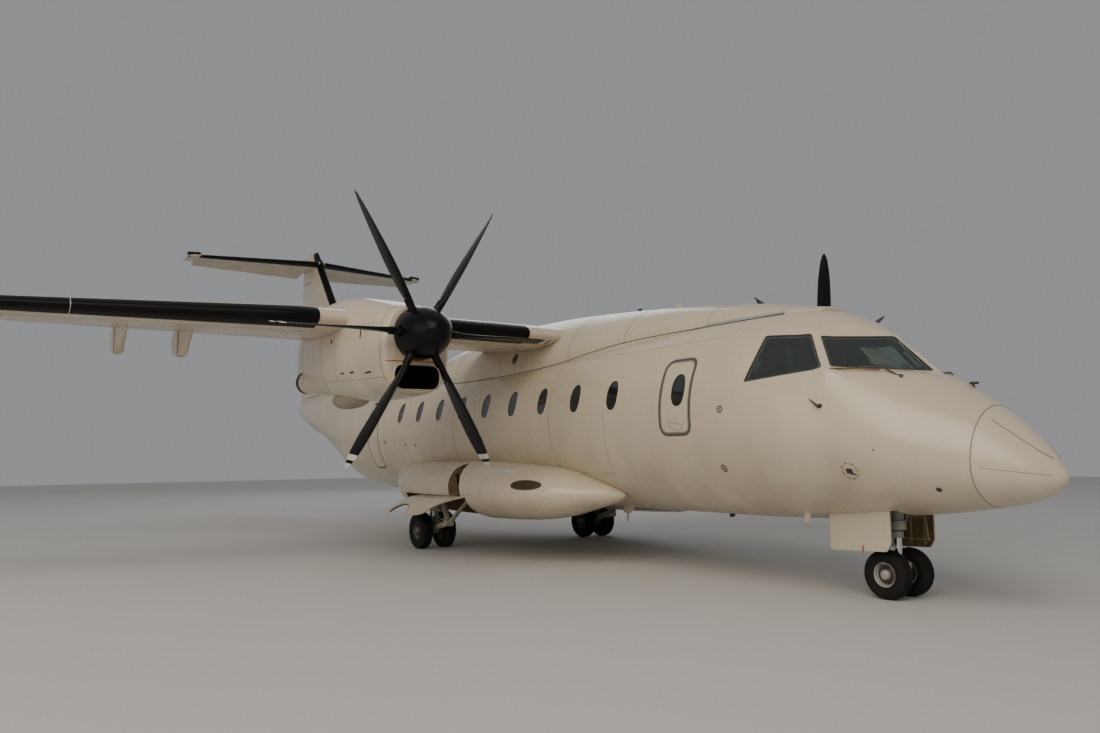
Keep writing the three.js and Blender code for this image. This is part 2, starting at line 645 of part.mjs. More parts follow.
function finEnd(z, x) {
  const share = (z - FIN_BOTTOM.span) / (FIN_TOP.span - FIN_BOTTOM.span);
  const [low, high] = [FIN_BOTTOM, FIN_TOP].map(({ thick, chord }) => thick * chord);
  const along = (finLead(z) - x) / (finLead(z) - FIN_TRAIL);
  return { span: z, x, middle: 0, radius: halfThickness(along) * (low + (high - low) * share) };
}
const RUDDER = [[3.14, -8.5], [6.38, -9.55]];
const rudderLine = RUDDER.map(([z, x]) => finEnd(z, x));
const tailplaneSleeve = [JOIN_GAP, -JOIN_GAP]
  .map((d) => surface(tailStationsOf(JOIN_GAP), flatWise).translate([0, 0, d]))
  .reduce((a, b) => a.add(b));
const RUDDER_END_GAPS = [0.022, 0.05];
const finParts = hinged(wholeFin, wholeFin, rudderLine, upright, RUDDER_END_GAPS);
meshOf("fin", cut(finParts.fixed, fuselageGrown, tailplaneSleeve), "paint");
meshOf("rudder", finParts.moving, "paint");

function tailplaneEnd(out, x) {
  const [root, tip] = TAILPLANE_TABLE;
  const [, lead, chord, thick] = root.map((v, k) => v + (tip[k] - v) * (out / tip[0]));
  return { span: -out, x, middle: TAILPLANE_Z, radius: halfThickness((lead - x) / chord) * thick * chord };
}
const elevatorLine = [tailplaneEnd(0.2, -9.86), tailplaneEnd(3.12, -10.15)];
const tailParts = hinged(wholeTailplane, wholeTailplane, elevatorLine, flatWise);
const [elevatorInner, elevatorOuter] = elevatorLine.map(({ span, x, middle }) => flatWise(x, span, middle));
const elevator = turnedAbout(tailParts.moving, elevatorInner, elevatorOuter, ELEVATOR_DROOP);
meshOf("tailplane", join(tailParts.fixed, finTip), "paint");
pair("elevator", elevator, "paint");

// Sponsons that hold the main wheels: x, centre y, centre z, half width, half height
const SPONSON_TABLE = [
  [5.6, -0.62, 0.93, 0.12, 0.1],
  [5.35, -0.75, 0.93, 0.3, 0.2],
  [5.0, -0.98, 0.94, 0.48, 0.26],
  [4.5, -1.14, 0.95, 0.6, 0.34],
  [3.7, -1.26, 0.955, 0.63, 0.395],
  [2.7, -1.27, 0.965, 0.64, 0.42],
  [1.4, -1.27, 0.97, 0.64, 0.415],
  [0.7, -1.25, 0.98, 0.6, 0.39],
  [0.2, -1.18, 1.03, 0.5, 0.31],
  [-0.4, -1.08, 1.12, 0.33, 0.2],
  [-0.95, -0.98, 1.2, 0.12, 0.08],
];
const sponsonRings = SPONSON_TABLE.map(([x, y, z, wide, high]) =>
  Array.from({ length: 12 }, (_, i) => {
    const a = (2 * Math.PI * i) / 12;
    return [x, y + wide * Math.cos(a), z + high * Math.sin(a)];
  }));
const BAY = { x: [0.95, 3.05], y: [-1.74, -1.14], top: 1.2, sill: 0.88 };
const baySlot = [
  [2.47, 0.8], [2.47, 1.1], [2.6, 1.3], [2.7, 1.33], [2.93, 1.2], [2.8, 1.05], [2.82, 0.8],
];
const gearBay = join(
  box([BAY.x[0], BAY.y[0], 0.3], [BAY.x[1], BAY.y[1], BAY.top]),
  box([BAY.x[0], -2.1, 0.3], [BAY.x[1], BAY.y[1], BAY.sill]),
  sidePlate(baySlot, -2.1, -1.4),
);
const jackPad = bar([4.1, -1.3, 0.575], [4.1, -1.3, 0.8], 0.05);
const sponson = cut(join(loft(sponsonRings), jackPad), fuselageGrown, gearBay);
pair("sponson", sponson, "paint");

// Main gear doors, hung open below the sponson's outer edge
const DOOR_CURVE = [
  [-1.85, BAY.sill - JOIN_GAP], [-1.96, 0.82], [-2.04, 0.7], [-2.085, 0.58], [-2.1, 0.42],
];
const doorOutside = DOOR_CURVE.map(([y, z]) => [y - 0.025, z]).reverse();
const doorRing = (x) => [...DOOR_CURVE, ...doorOutside].map(([y, z]) => [x, y, z]);
const doorOutline = [
  [3.03, 0.9], [3.03, 0.8], [2.3, 0.66], [1.62, 0.52], [1.42, 0.56], [1.36, 0.64], [1.2, 0.695], [0.9, 0.655],
  [0.78, 0.52], [0.64, 0.43], [0.6, 0.48], [0.86, 0.64], [1.18, 0.76], [1.55, 0.84], [1.9, 0.9],
];
const panelEdges = sidePlate(doorOutline, -2.3, -1.8);
const mainDoor = loft([0.4, 3.3].map(doorRing)).intersect(panelEdges);
pair("main_door", mainDoor, "paint");

// Nose gear bay with its two doors hanging down
const NOSE_BAY = { x: [8.28, 9.12], half: 0.375, top: 1.4 };
const noseBay = box([NOSE_BAY.x[0], -NOSE_BAY.half, 0.3], [NOSE_BAY.x[1], NOSE_BAY.half, NOSE_BAY.top]);
const noseJackPad = bar([9.5, 0, 0.855], [9.5, 0, 1.0], 0.05);
sections.nose = join(cut(sections.nose, noseBay), noseJackPad);
const noseDoorOutline = [[8.31, 1.0], [8.31, 0.46], [8.98, 0.49], [9.03, 0.57], [9.03, 1.0]];
pair("nose_door", sidePlate(noseDoorOutline, -NOSE_BAY.half + JOIN_GAP, -NOSE_BAY.half + 0.022), "paint");

meshOf("radome", sections.radome, "paint");
meshOf("fuselage_nose", sections.nose, "paint");
meshOf("fuselage_cabin", sections.cabin, "paint");
meshOf("fuselage_tail", sections.tail, "paint");

// Wheels

// A tyre centred on y = 0: radius and y of its closed profile.
function tyreProfile({ radius, width, rim }) {
  const w = width / 2;
  const outline = [
    [rim, -w * 0.76], [(rim + radius) / 2, -w], [radius - 0.03, -w * 0.9], [radius, -w * 0.45],
    [radius, w * 0.45], [radius - 0.03, w * 0.9], [(rim + radius) / 2, w], [rim, w * 0.76],
  ];
  return [...outline, outline[0]];
}

// A dished rim centred on y = 0, open side outwards for sign +1.
function rimProfile({ width, rim }, sign) {
  const r = rim - JOIN_GAP;
  const w = width / 2;
  const outline = [
    [0, -w * 0.5], [r - 0.02, -w * 0.3], [r, -w * 0.7], [r, w * 0.7],
    [r - 0.02, w * 0.25], [0.055, w * 0.3], [0.045, w * 0.75], [0, w * 0.75],
  ];
  return outline.map(([a, y]) => [a, y * sign]);
}

// Two wheels on one axle, and their tyres.
function wheelSet(gear) {
  const at = (side) => gear.y + side * gear.half;
  const rims = [-1, 1].map((side) =>
    turned(rimProfile(gear, side), gear.x, gear.radius).translate([0, at(side), 0]));
  const axle = bar([gear.x, at(-1), gear.radius], [gear.x, at(1), gear.radius], AXLE_RADIUS, AXLE_RADIUS, 20);
  const tyres = [-1, 1].map((side) =>
    turned(tyreProfile(gear), gear.x, gear.radius).translate([0, at(side), 0]));
  return { wheels: join(axle, ...rims), tyres };
}

// The sleeve round an axle, with its bore.
function axleSleeve(gear, half) {
  const ends = (reach) => [-1, 1].map((side) => [gear.x, gear.y + side * reach, gear.radius]);
  const { bore } = pinAndBore(...ends(half + 0.02), AXLE_RADIUS, 20);
  return { sleeve: bar(...ends(half), 0.066, 0.066, 14), bore };
}

const noseSet = wheelSet(NOSE_GEAR);
meshOf("nose_wheels", noseSet.wheels, "rim");
meshOf("nose_tyre_right", noseSet.tyres[0], "tyre");
meshOf("nose_tyre_left", noseSet.tyres[1], "tyre");

const mainSet = wheelSet(MAIN_GEAR);
pair("main_wheels", mainSet.wheels, "rim");
pair("main_tyre_outer", mainSet.tyres[0], "tyre");
pair("main_tyre_inner", mainSet.tyres[1], "tyre");

// Nose leg, which is fixed, and the steered strut inside it
const noseX = NOSE_GEAR.x;
const noseLeg = cut(
  join(
    bar([noseX, 0, 0.68], [noseX, 0, NOSE_BAY.top - JOIN_GAP], 0.07, 0.085, 16),
    bar([noseX, 0, 0.68], [noseX, 0, 0.78], 0.092, 0.092, 16),
    bar([noseX - 0.45, 0, NOSE_BAY.top - 0.06], [noseX, 0, 0.95], 0.032),
    bar([noseX, -0.3, 1.25], [noseX, 0.3, 1.25], 0.04),
  ),
  pinAndBore([noseX, 0, 0.6], [noseX, 0, 0.9], STRUT_RADIUS, 22).bore,
);
meshOf("nose_leg", noseLeg, "legGrey");
const noseSleeve = axleSleeve(NOSE_GEAR, 0.08);
const steering = cut(
  join(
    bar([noseX, 0, 0.25], [noseX, 0, 0.88], STRUT_RADIUS, STRUT_RADIUS, 22),
    noseSleeve.sleeve,
    box([noseX, -0.035, 0.29], [noseX + 0.13, 0.035, 0.36]),
    bar([noseX, 0, 0.33], [noseX - 0.13, 0, 0.46], 0.02, 0.02, 8),
    bar([noseX - 0.13, 0, 0.46], [noseX, 0, 0.6], 0.02, 0.02, 8),
  ),
  noseSleeve.bore,
);
meshOf("nose_steering", steering, "legGrey");

// Main legs
const mainSleeve = axleSleeve(MAIN_GEAR, 0.095);
const mainX = MAIN_GEAR.x;
const mainY = MAIN_GEAR.y;
const mainLeg = cut(
  join(
    bar([mainX, mainY, MAIN_GEAR.radius], [mainX, mainY, 0.72], 0.055, 0.055, 16),
    bar([mainX, mainY, 0.66], [mainX, mainY, BAY.top - JOIN_GAP], 0.08, 0.1, 16),
    bar([mainX + 0.95, -1.45, BAY.top - 0.05], [mainX, mainY, 0.74], 0.035, 0.035, 8),
    bar([mainX - 0.02, -1.22, BAY.top - 0.06], [mainX, mainY, 0.8], 0.035, 0.035, 8),
    bar([mainX, mainY, 0.36], [mainX + 0.19, mainY, 0.5], 0.025, 0.025, 8),
    bar([mainX + 0.19, mainY, 0.5], [mainX, mainY, 0.69], 0.025, 0.025, 8),
    mainSleeve.sleeve,
  ),
  mainSleeve.bore,
);
pair("main_leg", mainLeg, "legGrey");

// Propellers: everything is built round the origin with the shaft along +X
const spinnerProfile = [
  [0, 0.48], [0.08, 0.465], [0.17, 0.385], [0.255, 0.23], [0.305, 0.05], [SPINNER_RADIUS, -0.14], [0, -0.14],
];
const alongShaft = (profile, sides = 14) => {
  const points = profile.map(([r, x]) => new THREE.Vector2(r, x));
  return solidOf(new THREE.LatheGeometry(points, sides).rotateZ(-Math.PI / 2));
};
const BLADE_TABLE = [
  // distance out, chord, thickness
  [0.37, 0.11, 0.085],
  [0.62, 0.225, 0.05],
  [1.0, 0.285, 0.032],
  [1.35, 0.27, 0.021],
  [1.66, 0.185, 0.013],
  [PROP.radius, 0.07, 0.008],
];
const bladeSection = [
  [0.5, 0], [0.2, 0.48], [-0.25, 0.36], [-0.5, 0], [-0.25, -0.36], [0.2, -0.48],
];
function blade(angle) {
  const rings = BLADE_TABLE.map(([out, chord, thick]) => {
    const pitch = THREE.MathUtils.degToRad(PROP.feather + 25 * (0.75 - out / PROP.radius));
    return bladeSection.map(([along, across]) => {
      const a = along * chord;
      const t = across * thick;
      return [a * Math.sin(pitch) + t * Math.cos(pitch), out, a * Math.cos(pitch) - t * Math.sin(pitch)];
    });
  });
  const root = bar([0, HUB_RADIUS - 0.05, 0], [0, 0.44, 0], BLADE_ROOT, BLADE_ROOT * 0.85, 8);
  return join(loft(rings), root).rotate([angle, 0, 0]);
}
const angles = Array.from({ length: PROP.blades }, (_, i) => (360 / PROP.blades) * i);
const hub = alongShaft([[0, -0.139], [HUB_RADIUS - JOIN_GAP, -0.139], [HUB_RADIUS - JOIN_GAP, 0.119], [0, 0.119]]);
const propeller = cut(join(hub, ...angles.map(blade)), shaft.bore);
const rootHoles = angles.map((angle) =>
  bar([0, 0.15, 0], [0, 0.5, 0], BLADE_ROOT + 0.012, BLADE_ROOT + 0.012, 8).rotate([angle, 0, 0]));
const hubRoom = alongShaft([[0, -0.2], [HUB_RADIUS, -0.2], [HUB_RADIUS, 0.12], [0, 0.12]]);
const spinner = cut(alongShaft([...spinnerProfile].reverse()), hubRoom, ...rootHoles);
for (const [side, y, turn] of [["right", -ENGINE_Y, 0], ["left", ENGINE_Y, PORT_PROPELLER_TURN]]) {
  for (const [name, solid] of [["propeller", propeller], ["spinner", spinner]]) {
    const mesh = meshOf(`${name}_${side}`, solid.rotate([turn, 0, 0]), "black");
    mesh.rotation.y = THREE.MathUtils.degToRad(PROP.tilt);
    mesh.position.set(PROP.x, y, PROP.z).multiplyScalar(1000);
  }
}

export default airliner;
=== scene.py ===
import json
from math import asin, ceil, copysign, cos, hypot, pi, radians, sin, sqrt
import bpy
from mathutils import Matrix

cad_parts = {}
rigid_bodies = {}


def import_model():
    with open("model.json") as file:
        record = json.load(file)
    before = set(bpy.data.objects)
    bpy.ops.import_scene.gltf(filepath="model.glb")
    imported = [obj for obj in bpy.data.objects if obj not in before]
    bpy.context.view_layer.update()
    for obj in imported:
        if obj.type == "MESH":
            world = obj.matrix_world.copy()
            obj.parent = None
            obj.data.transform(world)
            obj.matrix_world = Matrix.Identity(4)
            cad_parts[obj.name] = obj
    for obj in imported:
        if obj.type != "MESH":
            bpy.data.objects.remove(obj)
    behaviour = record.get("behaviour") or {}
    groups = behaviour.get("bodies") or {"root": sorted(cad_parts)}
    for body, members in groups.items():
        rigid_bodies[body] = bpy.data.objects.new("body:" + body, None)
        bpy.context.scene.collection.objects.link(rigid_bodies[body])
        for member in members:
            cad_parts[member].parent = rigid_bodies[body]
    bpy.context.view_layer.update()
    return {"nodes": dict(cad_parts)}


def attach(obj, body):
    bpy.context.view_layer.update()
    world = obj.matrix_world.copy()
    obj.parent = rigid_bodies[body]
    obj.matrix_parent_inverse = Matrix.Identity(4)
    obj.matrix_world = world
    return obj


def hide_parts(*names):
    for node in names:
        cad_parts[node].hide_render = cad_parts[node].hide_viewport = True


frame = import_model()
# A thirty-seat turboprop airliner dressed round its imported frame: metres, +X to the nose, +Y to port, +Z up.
from types import SimpleNamespace

import bmesh
import bpy
from mathutils import Matrix, Vector

scene = bpy.context.scene
workshop = bpy.data.collections.new("workshop")  # tools and half-made solids, emptied at the end
scene.collection.children.link(workshop)

# Camera, at the photograph's place and angle
view = {"place": (14.388, -7.930, 1.464), "yaw": 2.554, "pitch": 0.102, "roll": -0.009, "focal": 870.0,
    "width": 1100.0}
forward = Vector((cos(view["pitch"]) * cos(view["yaw"]), cos(view["pitch"]) * sin(view["yaw"]),
    sin(view["pitch"])))
level = forward.cross(Vector((0, 0, 1))).normalized()
upright = level.cross(forward)
rightWay = cos(view["roll"]) * level + sin(view["roll"]) * upright
upWay = -sin(view["roll"]) * level + cos(view["roll"]) * upright
cameraData = bpy.data.cameras.new("camera")
cameraData.sensor_width = 36.0
cameraData.lens = view["focal"] / view["width"] * 36.0
camera = bpy.data.objects.new("camera", cameraData)
turn = Matrix((rightWay, upWay, -forward)).transposed().to_4x4()
camera.matrix_world = Matrix.Translation(view["place"]) @ turn
scene.collection.objects.link(camera)
scene.camera = camera


# Shapes

def inWorkshop(mesh):
    piece = bpy.data.objects.new(mesh.name, mesh)
    workshop.objects.link(piece)
    return piece


def solid(points, faces):
    mesh = bpy.data.meshes.new("solid")
    mesh.from_pydata([tuple(p) for p in points], [], faces)
    form = bmesh.new()
    form.from_mesh(mesh)
    bmesh.ops.remove_doubles(form, verts=form.verts, dist=1e-6)
    if form.calc_volume(signed=True) < 0:
        bmesh.ops.reverse_faces(form, faces=form.faces)
    form.to_mesh(mesh)
    form.free()
    return inWorkshop(mesh)


def loft(rings, closed=False):  # a closed loft has no ends, like a ring or a frame
    count = len(rings[0])
    points = [p for ring in rings for p in ring]
    faces = []
    for r in range(len(rings) if closed else len(rings) - 1):
        a, b = r * count, ((r + 1) % len(rings)) * count
        faces += [(a + i, a + (i + 1) % count, b + (i + 1) % count, b + i) for i in range(count)]
    if not closed:
        faces += [tuple(reversed(range(count))), tuple(range(len(points) - count, len(points)))]
    return solid(points, faces)


def box(low, high, bevel=0.0):
    (a, b, c), (d, e, f) = low, high
    piece = loft([[(x, b, c), (x, e, c), (x, e, f), (x, b, f)] for x in (a, d)])
    return rounded(piece, bevel) if bevel else piece


def rounded(piece, width, segments=3, angle=30):
    modifier = piece.modifiers.new("round", "BEVEL")
    modifier.width, modifier.segments = width, segments
    modifier.limit_method, modifier.angle_limit = "ANGLE", radians(angle)
    return settled(piece)


def settled(piece):  # takes what the modifiers make as the piece's own mesh
    bpy.context.view_layer.update()
    depsgraph = bpy.context.evaluated_depsgraph_get()
    mesh = bpy.data.meshes.new_from_object(piece.evaluated_get(depsgraph))
    piece.modifiers.clear()
    piece.data = mesh
    return piece


def combine(base, *steps):  # steps are pairs: UNION, DIFFERENCE or INTERSECT, and the tool
    for operation, tool in steps:
        modifier = base.modifiers.new("combine", "BOOLEAN")
        modifier.operation, modifier.object, modifier.solver = operation, tool, "MANIFOLD"
    return settled(base)


def cut(base, *tools):
    return combine(base, *[("DIFFERENCE", tool) for tool in tools])


def within(base, tool):
    return combine(base, ("INTERSECT", tool))


def copied(piece):
    return inWorkshop(piece.data.copy())


def merged(*pieces):  # one piece of several closed shells
    form = bmesh.new()
    for piece in pieces:
        form.from_mesh(piece.data)
    mesh = bpy.data.meshes.new("merged")
    form.to_mesh(mesh)
    form.free()
    return inWorkshop(mesh)


def moved(piece, matrix):
    piece.data.transform(matrix)
    if matrix.determinant() < 0:
        piece.data.flip_normals()
    return piece


acrossMiddle = Matrix.Scale(-1, 4, (0, 1, 0))


def mirrored(piece):
    return moved(copied(piece), acrossMiddle)


def square(direction):  # two directions at right angles to one
    direction = Vector(direction).normalized()
    side = direction.cross(Vector((0, 0, 1)) if abs(direction.z) < 0.9 else Vector((1, 0, 0))).normalized()
    return side, direction.cross(side)


def circle(count):  # evenly spaced angles
    return [2 * pi * i / count for i in range(count)]


def rod(start, end, radius, endRadius=None, sides=28, edge=0.0):
    start, end = Vector(start), Vector(end)
    side, up = square(end - start)
    endRadius = radius if endRadius is None else endRadius
    along = (end - start).normalized()
    stops = [(start, radius - edge), (start + along * edge, radius), (end - along * edge, endRadius),
        (end, endRadius - edge)] if edge else [(start, radius), (end, endRadius)]
    return loft([[p + (side * cos(a) + up * sin(a)) * r for a in circle(sides)] for p, r in stops])


def tube(path, radius, sides=12):  # a round bar along a path
    path = [Vector(p) for p in path]
    rings = []
    side = square(path[1] - path[0])[0]
    for i, p in enumerate(path):
        along = (path[min(i + 1, len(path) - 1)] - path[max(i - 1, 0)]).normalized()
        side = (side - along * side.dot(along)).normalized()
        up = along.cross(side)
        rings.append([p + (side * cos(a) + up * sin(a)) * radius for a in circle(sides)])
    return loft(rings)


def smoothPath(points, steps=8):  # a rounded line through a few points
    points = [Vector(p) for p in points]
    path = []
    for i in range(len(points) - 1):
        a, b, c, d = (points[max(i - 1, 0)], points[i], points[i + 1], points[min(i + 2, len(points) - 1)])
        for k in range(steps):
            t = k / steps
            path.append(0.5 * (2 * b + (c - a) * t + (2 * a - 5 * b + 4 * c - d) * t * t
                + (3 * b - a - 3 * c + d) * t ** 3))
    return path + [points[-1]]


def turned(profile, centre, axis, sides=64):  # profile of (radius, distance along the axis)
    centre, axis = Vector(centre), Vector(axis).normalized()
    side, up = square(axis)
    points, faces = [], []
    rows = []
    for radius, along in profile:
        if radius < 1e-6:
            rows.append([len(points)] * sides)
            points.append(centre + axis * along)
        else:
            rows.append(list(range(len(points), len(points) + sides)))
            points += [centre + axis * along + (side * cos(a) + up * sin(a)) * radius
                for a in circle(sides)]
    closed = profile[0][0] > 1e-6
    for low, high in zip(rows, rows[1:] + ([rows[0]] if closed else [])):
        for i in range(sides):
            k = (i + 1) % sides
            corners = []
            for corner in (low[i], low[k], high[k], high[i]):
                if corner not in corners:
                    corners.append(corner)
            if len(corners) > 2:
                faces.append(tuple(corners))
    return solid(points, faces)


def sidePlate(outline, low, high):  # an outline of (x, z) points, thick from y = low to y = high
    return loft([[(x, y, z) for x, z in outline] for y in (low, high)])


def softened(outline, radius, steps=5):  # rounds the corners of an outline in 2-D or 3-D
    outline = [Vector(p) for p in outline]
    soft = []
    for i, p in enumerate(outline):
        before, after = outline[i - 1], outline[(i + 1) % len(outline)]
        reach = min(radius, (before - p).length * 0.45, (after - p).length * 0.45)
        a, b = p + (before - p).normalized() * reach, p + (after - p).normalized() * reach
        soft += [a * (1 - t) ** 2 + p * (2 * t * (1 - t)) + b * t * t
            for t in [k / steps for k in range(steps + 1)]]
    return soft


def oval(x, z, wide, high, power=2.0, count=40):
    points = []
    for a in circle(count):
        c, s = cos(a), sin(a)
        points.append((x + wide / 2 * copysign(abs(c) ** (2 / power), c),
            z + high / 2 * copysign(abs(s) ** (2 / power), s)))
    return points


def oblong(a, b, c, d):  # the corners between (a, b) and (c, d)
    return [(a, b), (c, b), (c, d), (a, d)]


def spread(start, end, step):
    count = max(1, round(abs(end - start) / step))
    return [start + (end - start) * i / count for i in range(count + 1)]


def curveThrough(rows, column, key=lambda x: x):  # smooth, and never past the values beside it
    rows = sorted(rows, key=lambda row: key(row[0]))
    xs, ys = [key(row[0]) for row in rows], [row[column] for row in rows]
    steps = [b - a for a, b in zip(xs, xs[1:])]
    slopes = [(b - a) / h for a, b, h in zip(ys, ys[1:], steps)]
    tangents = [slopes[0]]
    for i in range(1, len(slopes)):
        before, after = 2 * steps[i] + steps[i - 1], steps[i] + 2 * steps[i - 1]
        flat = slopes[i - 1] * slopes[i] <= 0
        tangents.append(0.0 if flat else (before + after) / (before / slopes[i - 1] + after / slopes[i]))
    tangents.append(slopes[-1])

    def value(place):
        x = key(place)
        i = 0
        while i < len(steps) - 1 and x > xs[i + 1]:
            i += 1
        t = (x - xs[i]) / steps[i]
        return (ys[i] * (1 + 2 * t) * (1 - t) ** 2 + steps[i] * tangents[i] * t * (1 - t) ** 2 + ys[i + 1]
            * t * t * (3 - 2 * t) + steps[i] * tangents[i + 1] * t * t * (t - 1))
    return value


def makeBody(rows, centreY=0.0, power=1.0, tip=None, ease=0.0):
    # sections read off rows of x, top, middle, bottom, half width: ellipses at power 1, squarer below it
    key = (lambda x: -sqrt(max(0.0, tip - x))) if tip else (lambda x: x)
    columns = [curveThrough(rows, k, key) for k in (1, 2, 3, 4)]
    low, high = min(row[0] for row in rows), max(row[0] for row in rows)

    def read(x):
        reach = min(ease, x - low, (high - x) * 0.4)
        if reach < 1e-4:
            return [c(x) for c in columns]
        return [sum(w * c(x + reach * d) for w, d in ((1, -1), (2, -0.5), (2, 0), (2, 0.5), (1, 1))) / 8
            for c in columns]

    def point(x, angle, inset=0.0):
        top, middle, bottom, half = read(x)
        out, up = [copysign(abs(v) ** power, v) for v in (cos(angle), sin(angle))]
        reach = (top - middle if up > 0 else middle - bottom) - inset
        return Vector((x, centreY + max(half - inset, 0.003) * out, middle + reach * up))

    def at(x, angle, lift=0.0):  # a point of the skin, lifted along its normal
        along = point(x + 0.004, angle) - point(x - 0.004, angle)
        around = point(x, angle + 0.004) - point(x, angle - 0.004)
        return point(x, angle) + around.cross(along).normalized() * lift

    def ring(x, count, inset=0.0):
        return [point(x, a, inset) for a in circle(count)]

    def make(stations, count=96, inset=0.0):
        return loft([ring(x, count, inset) for x in stations])

    def angleAt(x, z, side=-1):
        top, middle, bottom, half = read(x)
        reach = top - middle if z > middle else middle - bottom
        up = asin(max(-1.0, min(1.0, (z - middle) / reach)))
        return up if side > 0 else pi - up

    def onSide(x, z, side=-1, lift=0.0):
        return at(x, angleAt(x, z, side), lift)

    return SimpleNamespace(read=read, point=point, at=at, ring=ring, make=make, angleAt=angleAt,
        onSide=onSide)


def dense(outline, step=0.03, closed=True):  # adds points along the long edges
    outline = [Vector(p) for p in outline]
    points = []
    for i, a in enumerate(outline if closed else outline[:-1]):
        b = outline[(i + 1) % len(outline)]
        count = max(1, ceil((b - a).length / step))
        points += [a + (b - a) * k / count for k in range(count)]
    return points if closed else points + [outline[-1]]


def skinPatch(outline, place, lift, depth, rings=5):  # a cap that follows a skin, from -depth to lift
    outline = dense(outline)
    centre = [sum(p[k] for p in outline) / len(outline) for k in (0, 1)]
    count = len(outline)
    points, faces = [], []
    for layer, height in enumerate((lift, -depth)):
        start = len(points)
        points.append(place(*centre, height))
        for r in range(1, rings + 1):
            points += [place(*[c + (v - c) * r / rings for c, v in zip(centre, p)], height)
                for p in outline]
        for i in range(count):
            k = (i + 1) % count
            fan = [(start, start + 1 + i, start + 1 + k)]
            for r in range(rings - 1):
                a, b = start + 1 + r * count, start + 1 + (r + 1) * count
                fan.append((a + i, b + i, b + k, a + k))
            faces += [tuple(reversed(f)) for f in fan] if layer else fan
    upper, lower = 1 + (rings - 1) * count, 2 + rings * count + (rings - 1) * count
    for i in range(count):
        k = (i + 1) % count
        faces.append((upper + k, upper + i, lower + i, lower + k))
    return solid(points, faces)


def widened(outline, by):  # moves an outline's points out along their normals
    outline = [Vector(p) for p in outline]
    area = sum(a.x * b.y - b.x * a.y for a, b in zip(outline, outline[1:] + outline[:1]))
    way = 1 if area > 0 else -1
    wide = []
    for i, p in enumerate(outline):
        along = (outline[(i + 1) % len(outline)] - outline[i - 1]).normalized()
        wide.append(p + Vector((along.y, -along.x)) * by * way)
    return wide


def skinBand(outline, place, width, lift, depth=0.002):  # a closed frame that follows a skin
    outline = dense(outline)
    outer, inner = widened(outline, width / 2), widened(outline, -width / 2)
    edge = min(0.3 * width, lift)
    outerTop, innerTop = widened(outline, width / 2 - edge), widened(outline, edge - width / 2)
    sections = []
    for a, b, c, d in zip(outer, outerTop, innerTop, inner):
        sections.append([place(*a, -depth), place(*a, lift * 0.4), place(*b, lift), place(*c, lift),
            place(*d, lift * 0.4), place(*d, -depth)])
    return loft(sections, closed=True)


def skinLine(path, place, width, lift, depth=0.002, step=0.03):  # an open strip that follows a skin
    path = dense(path, step, closed=False)
    sections = []
    for i, p in enumerate(path):
        along = (path[min(i + 1, len(path) - 1)] - path[max(i - 1, 0)]).normalized()
        across = Vector((along.y, -along.x)) * width / 2
        sections.append([place(*(p - across), -depth), place(*(p - across), lift),
            place(*(p + across), lift), place(*(p + across), -depth)])
    return loft(sections)


def hoop(body, x, width, lift, start=0.0, end=360.0, depth=0.002):
    # a strip round a body, or along part of it
    whole = end - start >= 360
    angles = [radians(a) for a in spread(start, end, 2.5)]
    sections = [[body.at(x - width / 2, a, -depth), body.at(x - width / 2, a, lift),
        body.at(x + width / 2, a, lift), body.at(x + width / 2, a, -depth)]
        for a in (angles[:-1] if whole else angles)]
    return loft(sections, closed=whole)


# Materials

def addNode(tree, kind, values=None, **settings):
    node = tree.nodes.new(kind)
    for key, value in settings.items():
        setattr(node, key, value)
    for key, value in (values or {}).items():
        if isinstance(value, bpy.types.NodeSocket):
            tree.links.new(value, node.inputs[key])
        else:
            node.inputs[key].default_value = value
    return node


def mixColour(tree, factor, a, b):
    return addNode(tree, "ShaderNodeMix", {0: factor, 6: a, 7: b}, data_type="RGBA").outputs[2]


def ramp(tree, value, low, high):
    return addNode(tree, "ShaderNodeMapRange", {0: value, 1: low, 2: high, 3: 0.0, 4: 1.0}).outputs[0]


def maths(tree, operation, a, b=0.0):
    return addNode(tree, "ShaderNodeMath", {0: a, 1: b}, operation=operation).outputs[0]


def newGroup(kind, name, inputs, outputs):  # each input has a default, or names its kind of socket
    group = bpy.data.node_groups.new(name, kind)
    for label, default in inputs.items():
        bare = isinstance(default, str)
        socketKind = "NodeSocketFloat" if isinstance(default, float) else "NodeSocketColor"
        socket = group.interface.new_socket(label, in_out="INPUT",
            socket_type=default if bare else socketKind)
        if not bare:
            socket.default_value = default
    for label, socketKind in outputs.items():
        group.interface.new_socket(label, in_out="OUTPUT", socket_type=socketKind)
    return group, group.nodes.new("NodeGroupInput").outputs, group.nodes.new("NodeGroupOutput").inputs


def noise(tree, scale, detail=4.0, stretch=(1, 1, 1), rough=0.55):
    place = addNode(tree, "ShaderNodeTexCoord").outputs["Object"]
    mapped = addNode(tree, "ShaderNodeMapping", {0: place, 3: stretch}).outputs[0]
    return addNode(tree, "ShaderNodeTexNoise", {"Vector": mapped, "Scale": scale, "Detail": detail,
        "Roughness": rough}).outputs["Fac"]


# Weathering: cloudy tone, dirt that runs down, specks, painted shade on faces that look down, and wear along
# edges
weathering, given, result = newGroup("ShaderNodeTree", "weathering", {"Colour": (0.8, 0.8, 0.8, 1),
    "Dirt colour": (0.2, 0.16, 0.1, 1), "Worn colour": (0.5, 0.5, 0.5, 1), "DirtAndShade": 0.2, "Wear": 0.3,
    "Scale": 1.0, "Roughness": 0.3, "Roughness change": 0.1}, {"Colour": "NodeSocketColor",
    "Roughness": "NodeSocketFloat", "Height": "NodeSocketFloat"})


def times(a, b):
    return maths(weathering, "MULTIPLY", a, b)


